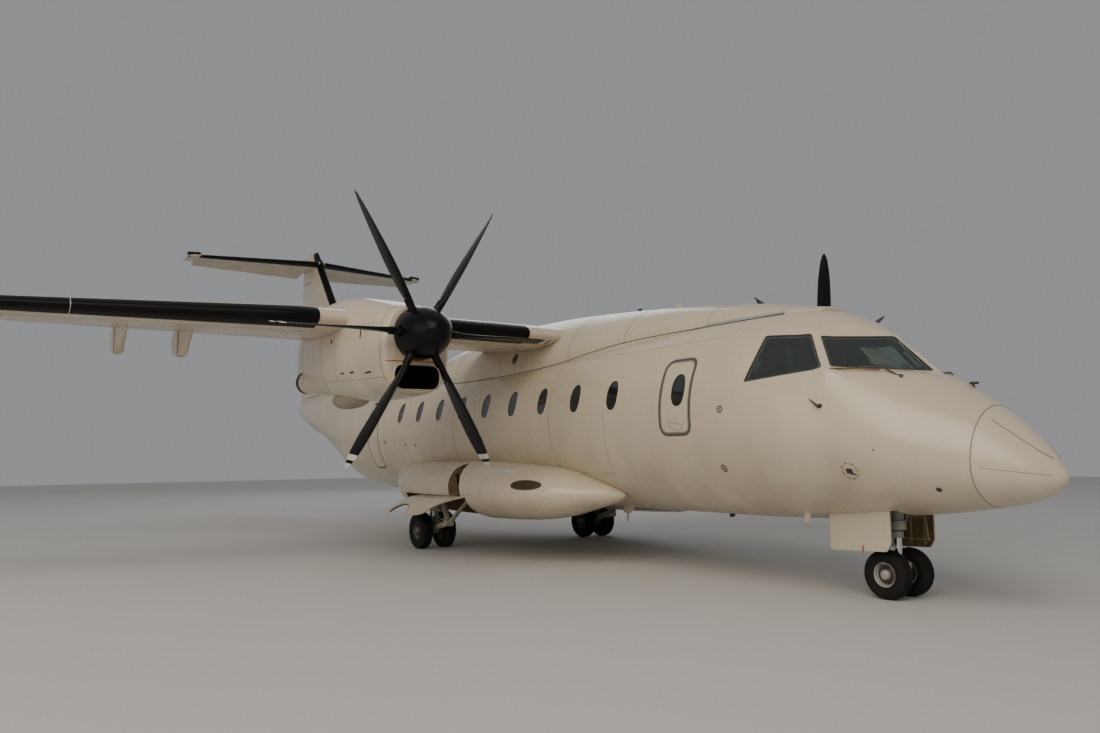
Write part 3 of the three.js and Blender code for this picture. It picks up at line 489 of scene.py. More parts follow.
clouds = noise(weathering, times(given["Scale"], 0.9), 5.0)
streaks = noise(weathering, times(given["Scale"], 2.2), 4.0, (1, 1, 0.12))
specks = ramp(weathering, noise(weathering, times(given["Scale"], 38.0), 2.0), 0.66, 0.74)
fine = noise(weathering, times(given["Scale"], 60.0), 3.0)
facing = addNode(weathering, "ShaderNodeSeparateXYZ", {0: addNode(weathering,
    "ShaderNodeNewGeometry").outputs["Normal"]}).outputs[2]
# faces that look down take more of the dirt colour: painted shade on the underside, added to the streaks and
# specks of dirt
under = ramp(weathering, facing, 0.25, -0.95)
dirtAndUnderShade = times(maths(weathering, "ADD", under, 0.25), ramp(weathering, streaks, 0.35, 0.8))
dirtAndUnderShade = times(maths(weathering, "ADD", dirtAndUnderShade, times(specks, 0.35)), given["DirtAndShade"])
toned = mixColour(weathering, times(ramp(weathering, clouds, 0.35, 0.7), 0.35), given["Colour"],
    addNode(weathering, "ShaderNodeHueSaturation", {"Color": given["Colour"], "Value": 0.93,
    "Saturation": 1.15}).outputs[0])
soiledAndShaded = mixColour(weathering, dirtAndUnderShade, toned, given["Dirt colour"])
pointy = addNode(weathering, "ShaderNodeNewGeometry").outputs["Pointiness"]
worn = times(ramp(weathering, pointy, 0.54, 0.62), ramp(weathering, fine, 0.4, 0.6))
worn = times(worn, given["Wear"])
weathering.links.new(mixColour(weathering, worn, soiledAndShaded, given["Worn colour"]), result["Colour"])
uneven = times(maths(weathering, "SUBTRACT", streaks, 0.4), given["Roughness change"])
weathering.links.new(maths(weathering, "ADD", maths(weathering, "ADD", given["Roughness"], uneven),
    times(dirtAndUnderShade, 0.3)), result["Roughness"])
weathering.links.new(maths(weathering, "ADD", times(fine, 0.25), times(clouds, 0.75)), result["Height"])


# the dirt amount and colour also give the painted shade on faces that look down
def finish(name, colour, dirtAndShadeColour=(0.16, 0.12, 0.075), wornColour=(0.45, 0.44, 0.42), dirtAndShade=0.2, wear=0.3,
        scale=1.0, roughness=0.3, change=0.1, metallic=0.0, coat=0.0, bump=0.02, distance=0.01,
        specular=0.5, through=0.0):
    material = bpy.data.materials.new(name)
    material.use_nodes = True
    tree = material.node_tree
    shader = tree.nodes["Principled BSDF"]
    group = addNode(tree, "ShaderNodeGroup", node_tree=weathering)
    for label, value in (("Colour", (*colour, 1)), ("Dirt colour", (*dirtAndShadeColour, 1)),
            ("Worn colour", (*wornColour, 1)), ("DirtAndShade", dirtAndShade), ("Wear", wear), ("Scale", scale),
            ("Roughness", roughness), ("Roughness change", change)):
        group.inputs[label].default_value = value
    tree.links.new(group.outputs["Colour"], shader.inputs["Base Color"])
    tree.links.new(group.outputs["Roughness"], shader.inputs["Roughness"])
    for label, value in (("Metallic", metallic), ("Coat Weight", coat), ("Coat Roughness", 0.16),
            ("Specular IOR Level", specular), ("Transmission Weight", through)):
        shader.inputs[label].default_value = value
    lumps = addNode(tree, "ShaderNodeBump", {"Height": group.outputs["Height"], "Strength": bump,
        "Distance": distance})
    tree.links.new(lumps.outputs[0], shader.inputs["Normal"])
    return material


paint = finish("creamPaint", (0.67, 0.58, 0.435), dirtAndShade=0.3, wear=0.12, roughness=0.25, change=0.12,
    coat=0.35)
radomePaint = finish("radomePaint", (0.685, 0.595, 0.455), wear=0.05, roughness=0.28, change=0.08, coat=0.3,
    bump=0.015)
seamDark = finish("seamSealant", (0.05, 0.045, 0.038), dirtAndShade=0.1, wear=0.0, roughness=0.7)
panelSeam = finish("panelSeam", (0.22, 0.19, 0.145), dirtAndShade=0.4, wear=0.0, roughness=0.55)
outlineGrey = finish("outlineGrey", (0.095, 0.086, 0.072), dirtAndShade=0.25, wear=0.2, roughness=0.4)
bootRubber = finish("bootRubber", (0.004, 0.004, 0.004), dirtAndShadeColour=(0.04, 0.035, 0.03), dirtAndShade=0.18,
    wear=0.1, wornColour=(0.03, 0.03, 0.03), roughness=0.38, change=0.18, bump=0.1, distance=0.003,
    specular=0.13)
bladeBlack = finish("bladeBlack", (0.004, 0.0045, 0.0055), dirtAndShadeColour=(0.035, 0.03, 0.028), dirtAndShade=0.15,
    wear=0.2, wornColour=(0.05, 0.05, 0.05), roughness=0.34, change=0.15, bump=0.04, distance=0.003,
    specular=0.2)
bladeWhite = finish("bladeWhite", (0.62, 0.59, 0.52), dirtAndShade=0.3, wornColour=(0.2, 0.2, 0.2), scale=3.0)
spinnerBlack = finish("spinnerBlack", (0.004, 0.0045, 0.0055), dirtAndShadeColour=(0.03, 0.03, 0.03), dirtAndShade=0.1,
    wear=0.05, wornColour=(0.06, 0.06, 0.06), roughness=0.24, coat=0.06, specular=0.12)
glass = finish("cockpitGlass", (0.44, 0.52, 0.51), dirtAndShadeColour=(0.2, 0.2, 0.18), dirtAndShade=0.15, wear=0.0,
    roughness=0.03, change=0.02, bump=0.004, through=0.96, specular=0.3)
cockpitDark = finish("cockpitLining", (0.03, 0.033, 0.033), wear=0.0, roughness=0.7)
seatCloth = finish("seatCloth", (0.035, 0.045, 0.07), wear=0.0, scale=6.0, roughness=0.9)
visorPale = finish("visorPale", (0.82, 0.82, 0.66), wear=0.0, scale=4.0, roughness=0.6)
cream = finish("creamEdge", (0.62, 0.57, 0.40), dirtAndShade=0.4, wear=0.2, scale=5.0, roughness=0.4)
ribPaint = finish("ribPaint", (0.30, 0.24, 0.13), dirtAndShadeColour=(0.03, 0.022, 0.015),
    wornColour=(0.5, 0.44, 0.3), dirtAndShade=0.9, wear=0.6, scale=6.0, roughness=0.5, bump=0.1)
legCream = finish("legCream", (0.50, 0.46, 0.34), dirtAndShadeColour=(0.035, 0.028, 0.02),
    wornColour=(0.6, 0.58, 0.5), dirtAndShade=0.9, wear=0.5, scale=7.0, roughness=0.42, bump=0.1)
scoopPaint = finish("scoopPaint", (0.36, 0.30, 0.22), dirtAndShade=0.5, wear=0.2, scale=4.0, roughness=0.4)
# near-black brown for the patches that stand for the sponson recess and the fairing inlet: painted shade, with
# dirt
recessShade = finish("recessShade", (0.055, 0.04, 0.02), dirtAndShadeColour=(0.16, 0.11, 0.03), dirtAndShade=1.0, wear=0.0,
    scale=7.0)
ventGrey = finish("ventGrey", (0.06, 0.055, 0.05), dirtAndShade=0.3, scale=5.0, roughness=0.5)
blueGrey = finish("blueGreyStrip", (0.36, 0.38, 0.38), dirtAndShade=0.3, wear=0.2, scale=3.0, roughness=0.35)
# opaque near-black panes for the cabin windows: painted shade of the cabin behind them
cabinShadeGlass = finish("cabinShadeGlass", (0.014, 0.016, 0.018), dirtAndShade=0.15, wear=0.0, roughness=0.07, change=0.05,
    coat=0.5, bump=0.01, specular=0.7)
bayPaint = finish("bayPaint", (0.19, 0.125, 0.06), dirtAndShadeColour=(0.02, 0.016, 0.012),
    wornColour=(0.45, 0.38, 0.25), dirtAndShade=1.2, wear=0.6, scale=4.0, roughness=0.55, bump=0.2)
legPaint = finish("legPaint", (0.36, 0.36, 0.30), dirtAndShadeColour=(0.03, 0.025, 0.02),
    wornColour=(0.55, 0.55, 0.5), dirtAndShade=0.9, wear=0.6, scale=6.0, roughness=0.42, bump=0.1)
chrome = finish("oleoChrome", (0.72, 0.72, 0.70), dirtAndShade=0.3, wear=0.0, scale=8.0, roughness=0.12,
    metallic=1.0)
rimPaint = finish("rimPaint", (0.50, 0.49, 0.45), dirtAndShadeColour=(0.04, 0.03, 0.025), dirtAndShade=0.9, wear=0.5,
    scale=8.0, roughness=0.4, metallic=0.3)
# a darker copy of rimPaint for the main wheels: painted shade, with dirt on top
mainRimShaded = finish("mainRimShaded", (0.20, 0.185, 0.155), dirtAndShadeColour=(0.03, 0.024, 0.018), dirtAndShade=1.1,
    wear=0.5, scale=8.0, roughness=0.5, metallic=0.3)
tyreRubber = finish("tyreRubber", (0.009, 0.009, 0.009), dirtAndShadeColour=(0.07, 0.055, 0.04),
    wornColour=(0.035, 0.032, 0.03), dirtAndShade=0.45, wear=0.5, scale=7.0, roughness=0.75, bump=0.3,
    distance=0.003, specular=0.25)
# dark grey for the hollow round the hub caps: painted shade
hubHollowShade = finish("hubHollowShade", (0.035, 0.032, 0.026), dirtAndShade=0.5, wear=0.5, scale=8.0, roughness=0.5)
exhaustMetal = finish("exhaustMetal", (0.035, 0.03, 0.024), dirtAndShadeColour=(0.01, 0.01, 0.01), dirtAndShade=0.9,
    wear=0.4, scale=5.0, roughness=0.5, metallic=0.6)
engineMetal = finish("engineMetal", (0.18, 0.18, 0.18), dirtAndShade=0.6, wear=0.4, scale=6.0, roughness=0.5,
    metallic=0.7)
hoseBlack = finish("hoseBlack", (0.02, 0.02, 0.02), dirtAndShade=0.5, wear=0.2, scale=9.0, roughness=0.6)
signalRed = finish("signalRed", (0.42, 0.025, 0.015), dirtAndShade=0.3, wear=0.2, scale=5.0, roughness=0.4)
orangeLine = finish("orangeLine", (0.50, 0.12, 0.03), dirtAndShade=0.3, scale=4.0, roughness=0.35)
pocketPaint = finish("pocketPaint", (0.34, 0.33, 0.29), dirtAndShade=0.5, scale=3.0, roughness=0.5)
# near black: painted shade inside the intakes, exhausts and vents, and for the cockpit panels behind the glass
shadeBlack = finish("shadeBlack", (0.006, 0.006, 0.006), wear=0.0, roughness=0.7)
mirrorLight = finish("lampGlass", (0.55, 0.50, 0.36), wear=0.0, scale=6.0, roughness=0.1, metallic=0.5,
    coat=0.6)


def show(name, mesh, body):
    shown = bpy.data.objects.new(name, mesh)
    scene.collection.objects.link(shown)
    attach(shown, body)
    return shown


def dress(piece, name, materials, stands=(), body="airframe", slot="airframe_paint", angle=34, choose=None,
        close=1e-5):
    form = bmesh.new()
    form.from_mesh(piece.data)
    bmesh.ops.remove_doubles(form, verts=form.verts, dist=close)
    bmesh.ops.dissolve_degenerate(form, edges=form.edges, dist=close)
    limit = radians(angle)
    for edge in form.edges:
        edge.smooth = len(edge.link_faces) == 2 and edge.calc_face_angle(4.0) < limit
    for face in form.faces:
        face.smooth = True
    mesh = bpy.data.meshes.new(name)
    form.to_mesh(mesh)
    form.free()
    materials = materials if isinstance(materials, (list, tuple)) else [materials]
    for material in materials:
        mesh.materials.append(material)
    if choose:
        for polygon in mesh.polygons:
            polygon.material_index = choose(polygon.center, polygon.normal)
    shown = show(name, mesh, body)
    if stands:
        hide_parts(*stands)


def dressPair(piece, name, materials, stands=(), body="airframe", **more):
    # the starboard piece, and its mirror image to port
    for side, one in (("right", piece), ("left", mirrored(piece))):
        ownBody = body if body == "airframe" else f"{body}_{side}"
        flip = more.get("choose")
        options = dict(more)
        if flip and side == "left":
            options["choose"] = lambda c, n: flip(Vector((c.x, -c.y, c.z)), Vector((n.x, -n.y, n.z)))
        dress(one, f"{name}_{side}", materials, [f"{s}_{side}" for s in stands], ownBody, **options)


print("materials made")

# Fuselage: x, top, middle, bottom, half width
hull = {"tip": 10.555, "radomeSeam": 9.985, "noseEnd": 7.45, "tailStart": -1.6, "around": 128,
    "seam": 0.004}
fuselage = makeBody([(10.555, 1.245, 1.24, 1.235, 0.005), (10.51, 1.345, 1.243, 1.145, 0.115),
    (10.405, 1.495, 1.255, 1.065, 0.245), (10.215, 1.7, 1.29, 0.995, 0.385),
    (9.975, 1.905, 1.34, 0.945, 0.54), (9.725, 2.085, 1.4, 0.905, 0.675), (9.375, 2.275, 1.5, 0.86, 0.825),
    (8.935, 2.665, 1.62, 0.82, 0.975), (8.765, 2.8, 1.67, 0.805, 1.02), (8.545, 2.925, 1.73, 0.785, 1.07),
    (8.085, 3.07, 1.83, 0.755, 1.145), (7.425, 3.14, 1.91, 0.735, 1.195), (6.425, 3.15, 1.94, 0.73, 1.21),
    (-1.6, 3.15, 1.94, 0.73, 1.21), (-2.8, 3.15, 1.97, 0.785, 1.195), (-4.0, 3.15, 2.03, 0.86, 1.148),
    (-5.7, 3.14, 2.19, 1.44, 0.91), (-7.0, 3.12, 2.36, 1.88, 0.735), (-8.0, 3.09, 2.52, 2.08, 0.63),
    (-9.3, 3.01, 2.66, 2.41, 0.375), (-10.3, 2.93, 2.78, 2.69, 0.165), (-10.555, 2.88, 2.8, 2.74, 0.1)],
    tip=10.5551, ease=0.3)
onSkin = fuselage.onSide


def starboardSkin(x, z, lift=0.0):
    return onSkin(x, z, -1, lift)


def portSkin(x, z, lift=0.0):
    return onSkin(x, z, 1, lift)


stations = {
    "radome": [hull["tip"] - (i / 26) ** 2 * (hull["tip"] - hull["radomeSeam"]) for i in range(27)],
    "nose": [hull["radomeSeam"] - hull["seam"]] + spread(9.93, hull["noseEnd"], 0.06),
    "cabin": spread(hull["noseEnd"] - hull["seam"] / 2, hull["tailStart"], 0.15),
    "tail": spread(hull["tailStart"] - hull["seam"] / 2, -hull["tip"], 0.12)}
sections = {name: fuselage.make(places, hull["around"]) for name, places in stations.items()}
sectionCuts = {"nose": [], "cabin": [], "tail": []}

# Doors in the skin: side 1 is port, edge is the hinged one
doorSizes = {"skin": 0.05, "pocket": 0.22, "gap": 0.008, "hingeGap": 0.03, "corner": 0.09, "rebate": 0.009,
    "hingeCorner": 0.03, "roomCorner": 0.012, "margin": 0.3, "skinReach": 0.012, "stepRise": 0.26}
doors = {
    "passenger_door": {"side": 1, "x": (6.45, 7.15), "z": (1.02, 2.72), "section": "cabin", "edge": "bottom"},
    "baggage_door": {"side": 1, "x": (-3.35, -2.43), "z": (1.32, 2.72), "section": "tail", "edge": "top"},
    "service_door": {"side": -1, "x": (-2.4, -1.9), "z": (1.27, 2.52), "section": "tail", "edge": "top"}}


def doorShape(door, low, high, grow, hingeCorner):  # square at the hinged edge, round at the other one
    a, b = door["x"][0] - grow, door["x"][1] + grow
    corners = oblong(a, low, b, high)
    wide, tight = softened(corners, doorSizes["corner"] + grow, 8), softened(corners, hingeCorner, 8)
    half = len(wide) // 2
    return tight[:half] + wide[half:] if door["edge"] == "bottom" else wide[:half] + tight[half:]


def doorBlock(door, grow=0.0):
    low = door["z"][0] - (doorSizes["hingeGap"] if grow and door["edge"] == "bottom" else grow)
    high = door["z"][1] + (doorSizes["hingeGap"] if grow and door["edge"] == "top" else grow)
    outline = doorShape(door, low, high, grow, doorSizes["roomCorner" if grow else "hingeCorner"])
    ys = sorted((door["side"] * 0.4, door["side"] * 1.4))
    return sidePlate(outline, *ys)


def shell(start, end, inset, around=96, step=0.1):
    return fuselage.make(spread(start, end, step), around, inset)


baggageRoom = within(shell(-1.0, -5.2, 0.1), box((-4.6, -1.2, 1.2), (-1.75, 1.2, 2.95)))
sectionCuts["tail"].append(baggageRoom)
for name, door in doors.items():
    low, high = door["x"][0] - doorSizes["margin"], door["x"][1] + doorSizes["margin"]
    space = doorBlock(door, doorSizes["gap"])
    if name == "passenger_door":
        space = cut(space, shell(high, low, doorSizes["pocket"]))
    sectionCuts[door["section"]].append(space)
    panel = combine(shell(high, low, 0.0, hull["around"]), ("INTERSECT", doorBlock(door)),
        ("DIFFERENCE", shell(high + 0.1, low - 0.1, doorSizes["skin"])))
    hinged = door["z"][0] if door["edge"] == "bottom" else door["z"][1]
    rebate = within(shell(high + 0.1, low - 0.1, doorSizes["rebate"]),
        box((low, -1.4, hinged - 0.06), (high, 1.4, hinged + 0.06)))
    panel = cut(panel, rebate)  # thin along the hinge, so that it swings clear
    extras = []
    if name == "passenger_door":
        for z in spread(door["z"][0] + 0.2, door["z"][1] - 0.2, doorSizes["stepRise"]):  # the airstair
            y = -onSkin(door["x"][0], z, -1).y
            extras.append(box((door["x"][0] + 0.06, y - 0.175, z - 0.012),
                (door["x"][1] - 0.06, y - 0.03, z + 0.012), 0.005))
    panel = merged(panel, *extras)
    side = door["side"]

    def inner(centre, normal, side=side):
        near = (centre - onSkin(centre.x, centre.z, side)).length < doorSizes["skinReach"]
        return 0 if near and normal.y * side > -0.2 else 1
    dress(panel, name.replace("_door", "DoorPanel"), [paint, pocketPaint], [name], body=name, choose=inner)

# Cabin windows, with a rounded frame and a pane set in
windowSizes = {"wide": 0.235, "high": 0.385, "power": 2.35, "deep": 0.02, "pane": 0.009, "rim": 0.016,
    "first": (5.661, 2.215), "step": (-0.815, 0.0086), "count": 9, "exit": (6.895, 2.2)}
windowPlaces = [[a + b * k for a, b in zip(windowSizes["first"], windowSizes["step"])]
    for k in range(windowSizes["count"])]
cabinPanes, cabinRims = [], []
for side, place in ((-1, starboardSkin), (1, portSkin)):
    for x, z in windowPlaces + ([windowSizes["exit"]] if side < 0 else []):
        outline = oval(x, z, windowSizes["wide"], windowSizes["high"], windowSizes["power"])
        pocket = skinPatch(outline, place, 0.05, windowSizes["deep"])
        sectionCuts["cabin"].append(pocket)
        cabinPanes.append(skinPatch(widened(outline, -0.002), place, -windowSizes["pane"],
            windowSizes["deep"] - 0.001))
        cabinRims.append(skinBand(widened(outline, 0.001), place, windowSizes["rim"], 0.0025))
# the panes are near black: painted shade of the cabin
dress(merged(*cabinPanes), "cabinWindowPanes", cabinShadeGlass, slot="cockpit_glass")
dress(merged(*cabinRims), "cabinWindowFrames", paint)

# Cockpit glass: the corners of each pane, and the way it goes through the skin
paneSizes = {"corner": 0.035, "seal": 0.014, "glassTop": 0.004, "glassBottom": 0.02, "pocket": 0.024}
panes = {
    "windshield": (((8.53, -0.667, 2.672), (8.949, -0.036, 2.652), (9.386, -0.043, 2.267),
        (8.767, -0.838, 2.313)), (0.72, -0.3, 0.62)),
    "side_window": (((7.921, -0.816, 2.738), (8.438, -0.696, 2.689), (8.687, -0.88, 2.308),
        (7.861, -1.12, 2.215)), (0.2, -0.84, 0.5))}


def paneTool(corners, through, grow, start=-0.12, end=0.25):
    centre = sum((Vector(c) for c in corners), Vector()) / 4
    wide = []
    for i, corner in enumerate(corners):
        p = Vector(corner)
        a, b = (Vector(corners[i - 1]) - p).normalized(), (Vector(corners[(i + 1) % 4]) - p).normalized()
        wide.append(p - (a + b) * grow / max(0.3, a.cross(b).length))
    outline = softened(wide, paneSizes["corner"])
    return loft([[p + Vector(through) * d for p in outline] for d in (start, end)])


flatPanes = {"fade": 0.16, "amount": {"windshield": 1.0, "side_window": 0.8}, "middle": 0.07}
paneFaces = []
for name, (corners, through) in panes.items():
    spots = [Vector(c) for c in corners]
    centre = sum(spots, Vector()) / 4
    normal = (spots[2] - spots[0]).cross(spots[3] - spots[1]).normalized()
    normal = normal if normal.dot(Vector(through)) > 0 else -normal
    edges = []
    for i, spot in enumerate(spots):
        out = (spots[(i + 1) % 4] - spot).cross(normal).normalized()
        edges.append((spot, out if out.dot(centre - spot) < 0 else -out))
    paneFaces.append((centre, normal, edges, flatPanes["amount"][name]))


def hullGap(p):
    top, middle, bottom, half = fuselage.read(p.x)
    return hypot(p.y / half, (p.z - middle) / (top - middle if p.z > middle else middle - bottom)) - 1


def flattened(piece):  # presses the skin flat behind each pane, and lets it fade out round it
    for vertex in piece.data.vertices:
        p = Vector((vertex.co.x, -abs(vertex.co.y), vertex.co.z))
        if not 7.6 < p.x < 9.7 or p.z < 1.9:
            continue
        shifts = []
        for centre, normal, edges, amount in paneFaces:
            outside = max((p - spot).dot(out) for spot, out in edges)
            if outside > flatPanes["fade"]:
                continue
            share = 1 - max(0.0, outside) / flatPanes["fade"]
            share = share * share * (3 - 2 * share) * amount
            height = (p - centre).dot(normal)
            flat = p - normal * height
            for _ in range(4):
                gap = hullGap(flat + normal * height)
                height -= gap * 0.004 / max(1e-4, hullGap(flat + normal * (height + 0.004)) - gap)
            shifts.append((share, normal * -height * share))
        total = sum((shift for _, shift in shifts), Vector()) / max(1.0, sum(share for share, _ in shifts))
        total.y *= min(1.0, -p.y / flatPanes["middle"])
        vertex.co += Vector((total.x, total.y if vertex.co.y < 0 else -total.y, total.z))
    return piece


noseSpan = (9.75, 7.6)
cockpit = {"wall": 0.045, "x": (7.9, 9.3), "half": 1.05, "floor": 1.9, "ledge": 0.018}
cockpitRoom = within(shell(9.4, 7.8, cockpit["wall"], step=0.06),
    box((cockpit["x"][0], -cockpit["half"], cockpit["floor"]), (cockpit["x"][1], cockpit["half"], 3.2)))
sectionCuts["nose"].append(cockpitRoom)
seals = []
for name, (corners, through) in panes.items():
    pocket = cut(paneTool(corners, through, 0.0005), shell(*noseSpan, paneSizes["pocket"], step=0.06))
    opening = paneTool(corners, through, -cockpit["ledge"] - 0.012, -0.2)
    sectionCuts["nose"] += [pocket, mirrored(pocket), opening, mirrored(opening)]
    pane = combine(paneTool(corners, through, -paneSizes["seal"]),
        ("INTERSECT", shell(*noseSpan, paneSizes["glassTop"], hull["around"], 0.06)),
        ("DIFFERENCE", shell(9.85, 7.5, paneSizes["glassBottom"], step=0.06)))
    dressPair(flattened(pane), name.replace("side_window", "sideWindow") + "Pane", glass, [name],
        slot="cockpit_glass")
    seals.append(combine(paneTool(corners, through, 0.0), ("DIFFERENCE",
        paneTool(corners, through, -paneSizes["seal"], -0.2, 0.35)),
        ("INTERSECT", shell(*noseSpan, -0.0015, hull["around"], 0.06)),
        ("DIFFERENCE", shell(9.85, 7.5, paneSizes["glassBottom"], step=0.06))))
dressPair(flattened(merged(*seals)), "cockpitSeals", seamDark)

# What shows through the cockpit glass
coamingRings = []
for x, half, top in ((8.62, 0.78, 2.2), (8.8, 0.74, 2.235), (8.98, 0.62, 2.2), (9.12, 0.5, 2.1)):
    outline = softened([(-half, 1.95), (half, 1.95), (half * 0.96, top), (-half * 0.96, top)], 0.06)
    coamingRings.append([(x, y, z) for y, z in outline])
coaming = loft(coamingRings)
bulkhead = within(box((7.93, -0.9, 2.0), (7.95, 0.9, 2.9)), shell(8.3, 7.6, 0.06))
cockpitParts = [coaming, bulkhead, box((8.1, -0.14, 1.91), (8.6, 0.14, 2.15), 0.02),
    box((8.1, -0.3, 2.78), (8.55, 0.3, 2.83), 0.015)]
seatParts = []
for y in (-0.46, 0.46):
    back = Matrix.Translation((8.13, y, 2.2)) @ Matrix.Rotation(radians(-9), 4, "Y")
    head = Matrix.Translation((8.08, y, 2.7))
    seatParts += [rounded(moved(box((-0.05, -0.22, -0.3), (0.05, 0.22, 0.42)), back), 0.04),
        rounded(moved(box((-0.045, -0.12, -0.09), (0.045, 0.12, 0.1)), head), 0.04),
        box((8.12, y - 0.22, 1.91), (8.5, y + 0.22, 2.02), 0.04)]
# the panels behind the cockpit glass are near black: painted shade
dress(merged(*cockpitParts), "cockpitPanels", shadeBlack, slot="engine_metal")
dress(merged(*seatParts), "cockpitSeats", seatCloth, slot="gear_paint")
for side, y in (("right", -0.17), ("left", 0.55)):
    corners = [(8.72, y - 0.13, 2.54), (8.74, y + 0.11, 2.56), (8.93, y + 0.12, 2.37),
        (8.89, y - 0.13, 2.35)]
    visor = loft([[Vector(c) + Vector((d, 0, d)) for c in corners] for d in (0.0, 0.004)])
    dress(visor, f"sunVisor_{side}", visorPale, slot="gear_paint")

# Nose gear bay
noseBay = {"x": (8.28, 9.12), "half": 0.375, "top": 1.4}
bayHalf = noseBay["half"]
sectionCuts["nose"].append(box((noseBay["x"][0], -bayHalf, 0.3),
    (noseBay["x"][1], bayHalf, noseBay["top"])))

for name, cuts in sectionCuts.items():
    sections[name] = cut(sections[name], *cuts)
    print("cut", name, len(sections[name].data.polygons))
flattened(sections["nose"])


def skinFace(deepMaterial):
    def choose(centre, normal):
        side = 1 if centre.y > 0 else -1
        nearest = onSkin(centre.x, centre.z, side)
        outward = normal.dot(Vector((0, centre.y, centre.z - fuselage.read(centre.x)[1])).normalized())
        return 0 if (centre - nearest).length < 0.03 and outward > 0.15 else deepMaterial
    return choose


def noseFace(centre, normal):
    inBay = (noseBay["x"][0] - 0.01 < centre.x < noseBay["x"][1] + 0.01 and abs(centre.y) < bayHalf + 0.005
        and centre.z < noseBay["top"] + 0.01)
    if inBay and (normal.z < -0.9 and centre.z > 1.3 or abs(normal.z) < 0.25):
        return 1
    middle = fuselage.read(centre.x)[1]
    inward = normal.dot(Vector((0, centre.y, centre.z - middle)).normalized()) < -0.15
    inCockpit = centre.z > cockpit["floor"] - 0.01 and 7.8 < centre.x < 9.4
    return 2 if inCockpit and (inward or normal.x < -0.99) else 0


dress(sections["radome"], "radomeShell", radomePaint, ["radome"])
dress(sections["nose"], "noseSkin", [paint, bayPaint, cockpitDark], ["fuselage_nose"], choose=noseFace)
dress(sections["cabin"], "cabinSkin", [paint, pocketPaint], ["fuselage_cabin"], choose=skinFace(1))
dress(sections["tail"], "tailSkin", [paint, pocketPaint], ["fuselage_tail"], choose=skinFace(1))
print("fuselage made")

# Wing and tail surfaces
foil = {"steps": 30, "hingeSteps": 16, "gap": 0.008, "flapEndGap": 0.02}


def halfThickness(x):
    return 5 * (0.2969 * sqrt(x) - 0.126 * x - 0.3516 * x ** 2 + 0.2843 * x ** 3 - 0.1015 * x ** 4)


def aerofoil(lead, chord, thick, span, place, rise=0.0, bulge=0.0):
    shares = [0.5 * (1 - cos(pi * i / foil["steps"])) for i in range(foil["steps"] + 1)]

    def point(share, side):
        middle = rise + bulge * chord * 4 * share * (1 - share)
        return place(lead - share * chord, span, middle + side * halfThickness(share) * thick * chord)
    return [point(s, 1) for s in reversed(shares)] + [point(s, -1) for s in shares[1:]]


def flatWise(x, span, across):
    return Vector((x, span, across))


def uprightWise(x, span, across):
    return Vector((x, across, span))


def hingeSpace(ends, place, grow=0.0):
    stretch = hypot(1, (ends[1]["x"] - ends[0]["x"]) / (ends[1]["span"] - ends[0]["span"]))
    rings = []
    for end in ends:
        radius, middle, x, span = end["radius"] + grow, end["middle"], end["x"], end["span"]
        nose = []
        for i in range(foil["hingeSteps"] + 1):
            a = radians(-90 + 180 * i / foil["hingeSteps"])
            nose.append(place(x + radius * stretch * cos(a), span, middle + radius * sin(a)))
        rings.append(nose + [place(x - 0.001, span, middle + 0.4), place(-12, span, middle + 0.4),
            place(-12, span, middle - 0.4), place(x - 0.001, span, middle - 0.4)])
    return loft(rings)


def longer(ends, byFirst, bySecond):
    a, b = ends
    sign = copysign(1, b["span"] - a["span"])

    def shifted(end, d):
        return {key: end[key] + (d if key == "span" else (b[key] - a[key]) / (b["span"] - a["span"]) * d)
            for key in end}
    return [shifted(a, -sign * byFirst), shifted(b, sign * bySecond)]


wing = {"z": 3.22, "bulge": 0.012, "tipFrom": 10.15, "tip": 10.4901,
    "rows": [(1.0, 3.925, 2.35, 0.15), (4.6, 3.925, 2.35, 0.148), (7.7, 3.15, 1.57, 0.14),
    (10.15, 2.6, 1.0, 0.125), (10.42, 2.4, 0.74, 0.09), (10.49, 2.22, 0.5, 0.05)]}
tipCurves = [curveThrough(wing["rows"][2:], k, lambda x: -sqrt(max(0.0, wing["tip"] - x)))
    for k in (1, 2, 3)]


def wingAt(out):
    if out > wing["tipFrom"]:
        return [c(out) for c in tipCurves]
    i = 1
    while wing["rows"][i][0] < out:
        i += 1
    a, b = wing["rows"][i - 1], wing["rows"][i]
    t = (out - a[0]) / (b[0] - a[0])
    return [a[k] + (b[k] - a[k]) * t for k in (1, 2, 3)]


def wingRing(span):
    return aerofoil(*wingAt(abs(span)), span, flatWise, wing["z"], wing["bulge"])


def onWing(span, share, side, lift=0.0):  # side 1 is above
    lead, chord, thick = wingAt(abs(span))
    across = wing["z"] + wing["bulge"] * chord * 4 * share * (1 - share) + side * (halfThickness(share)
        * thick * chord + lift)
    return Vector((lead - share * chord, span, across))


wingOuts = ([1.0, 1.5, 2.0, 2.6, 3.2, 3.8, 4.3, 4.6] + spread(4.9, 7.7, 0.4) + spread(8.1, 9.9, 0.4)
    + [wing["tipFrom"], 10.22] + [10.49 - 0.24 * (1 - i / 9) ** 2 for i in range(1, 10)] + [10.4899])
wingSpans = [-out for out in reversed(sorted(set(wingOuts)))]
wholeWing = loft([wingRing(span) for span in wingSpans + [-s for s in reversed(wingSpans)]])


def wingEnd(out, x):
    lead, chord, thick = wingAt(out)
    share = (lead - x) / chord
    return {"span": -out, "x": x, "middle": wing["z"] + wing["bulge"] * chord * 4 * share * (1 - share),
        "radius": halfThickness(share) * thick * chord}


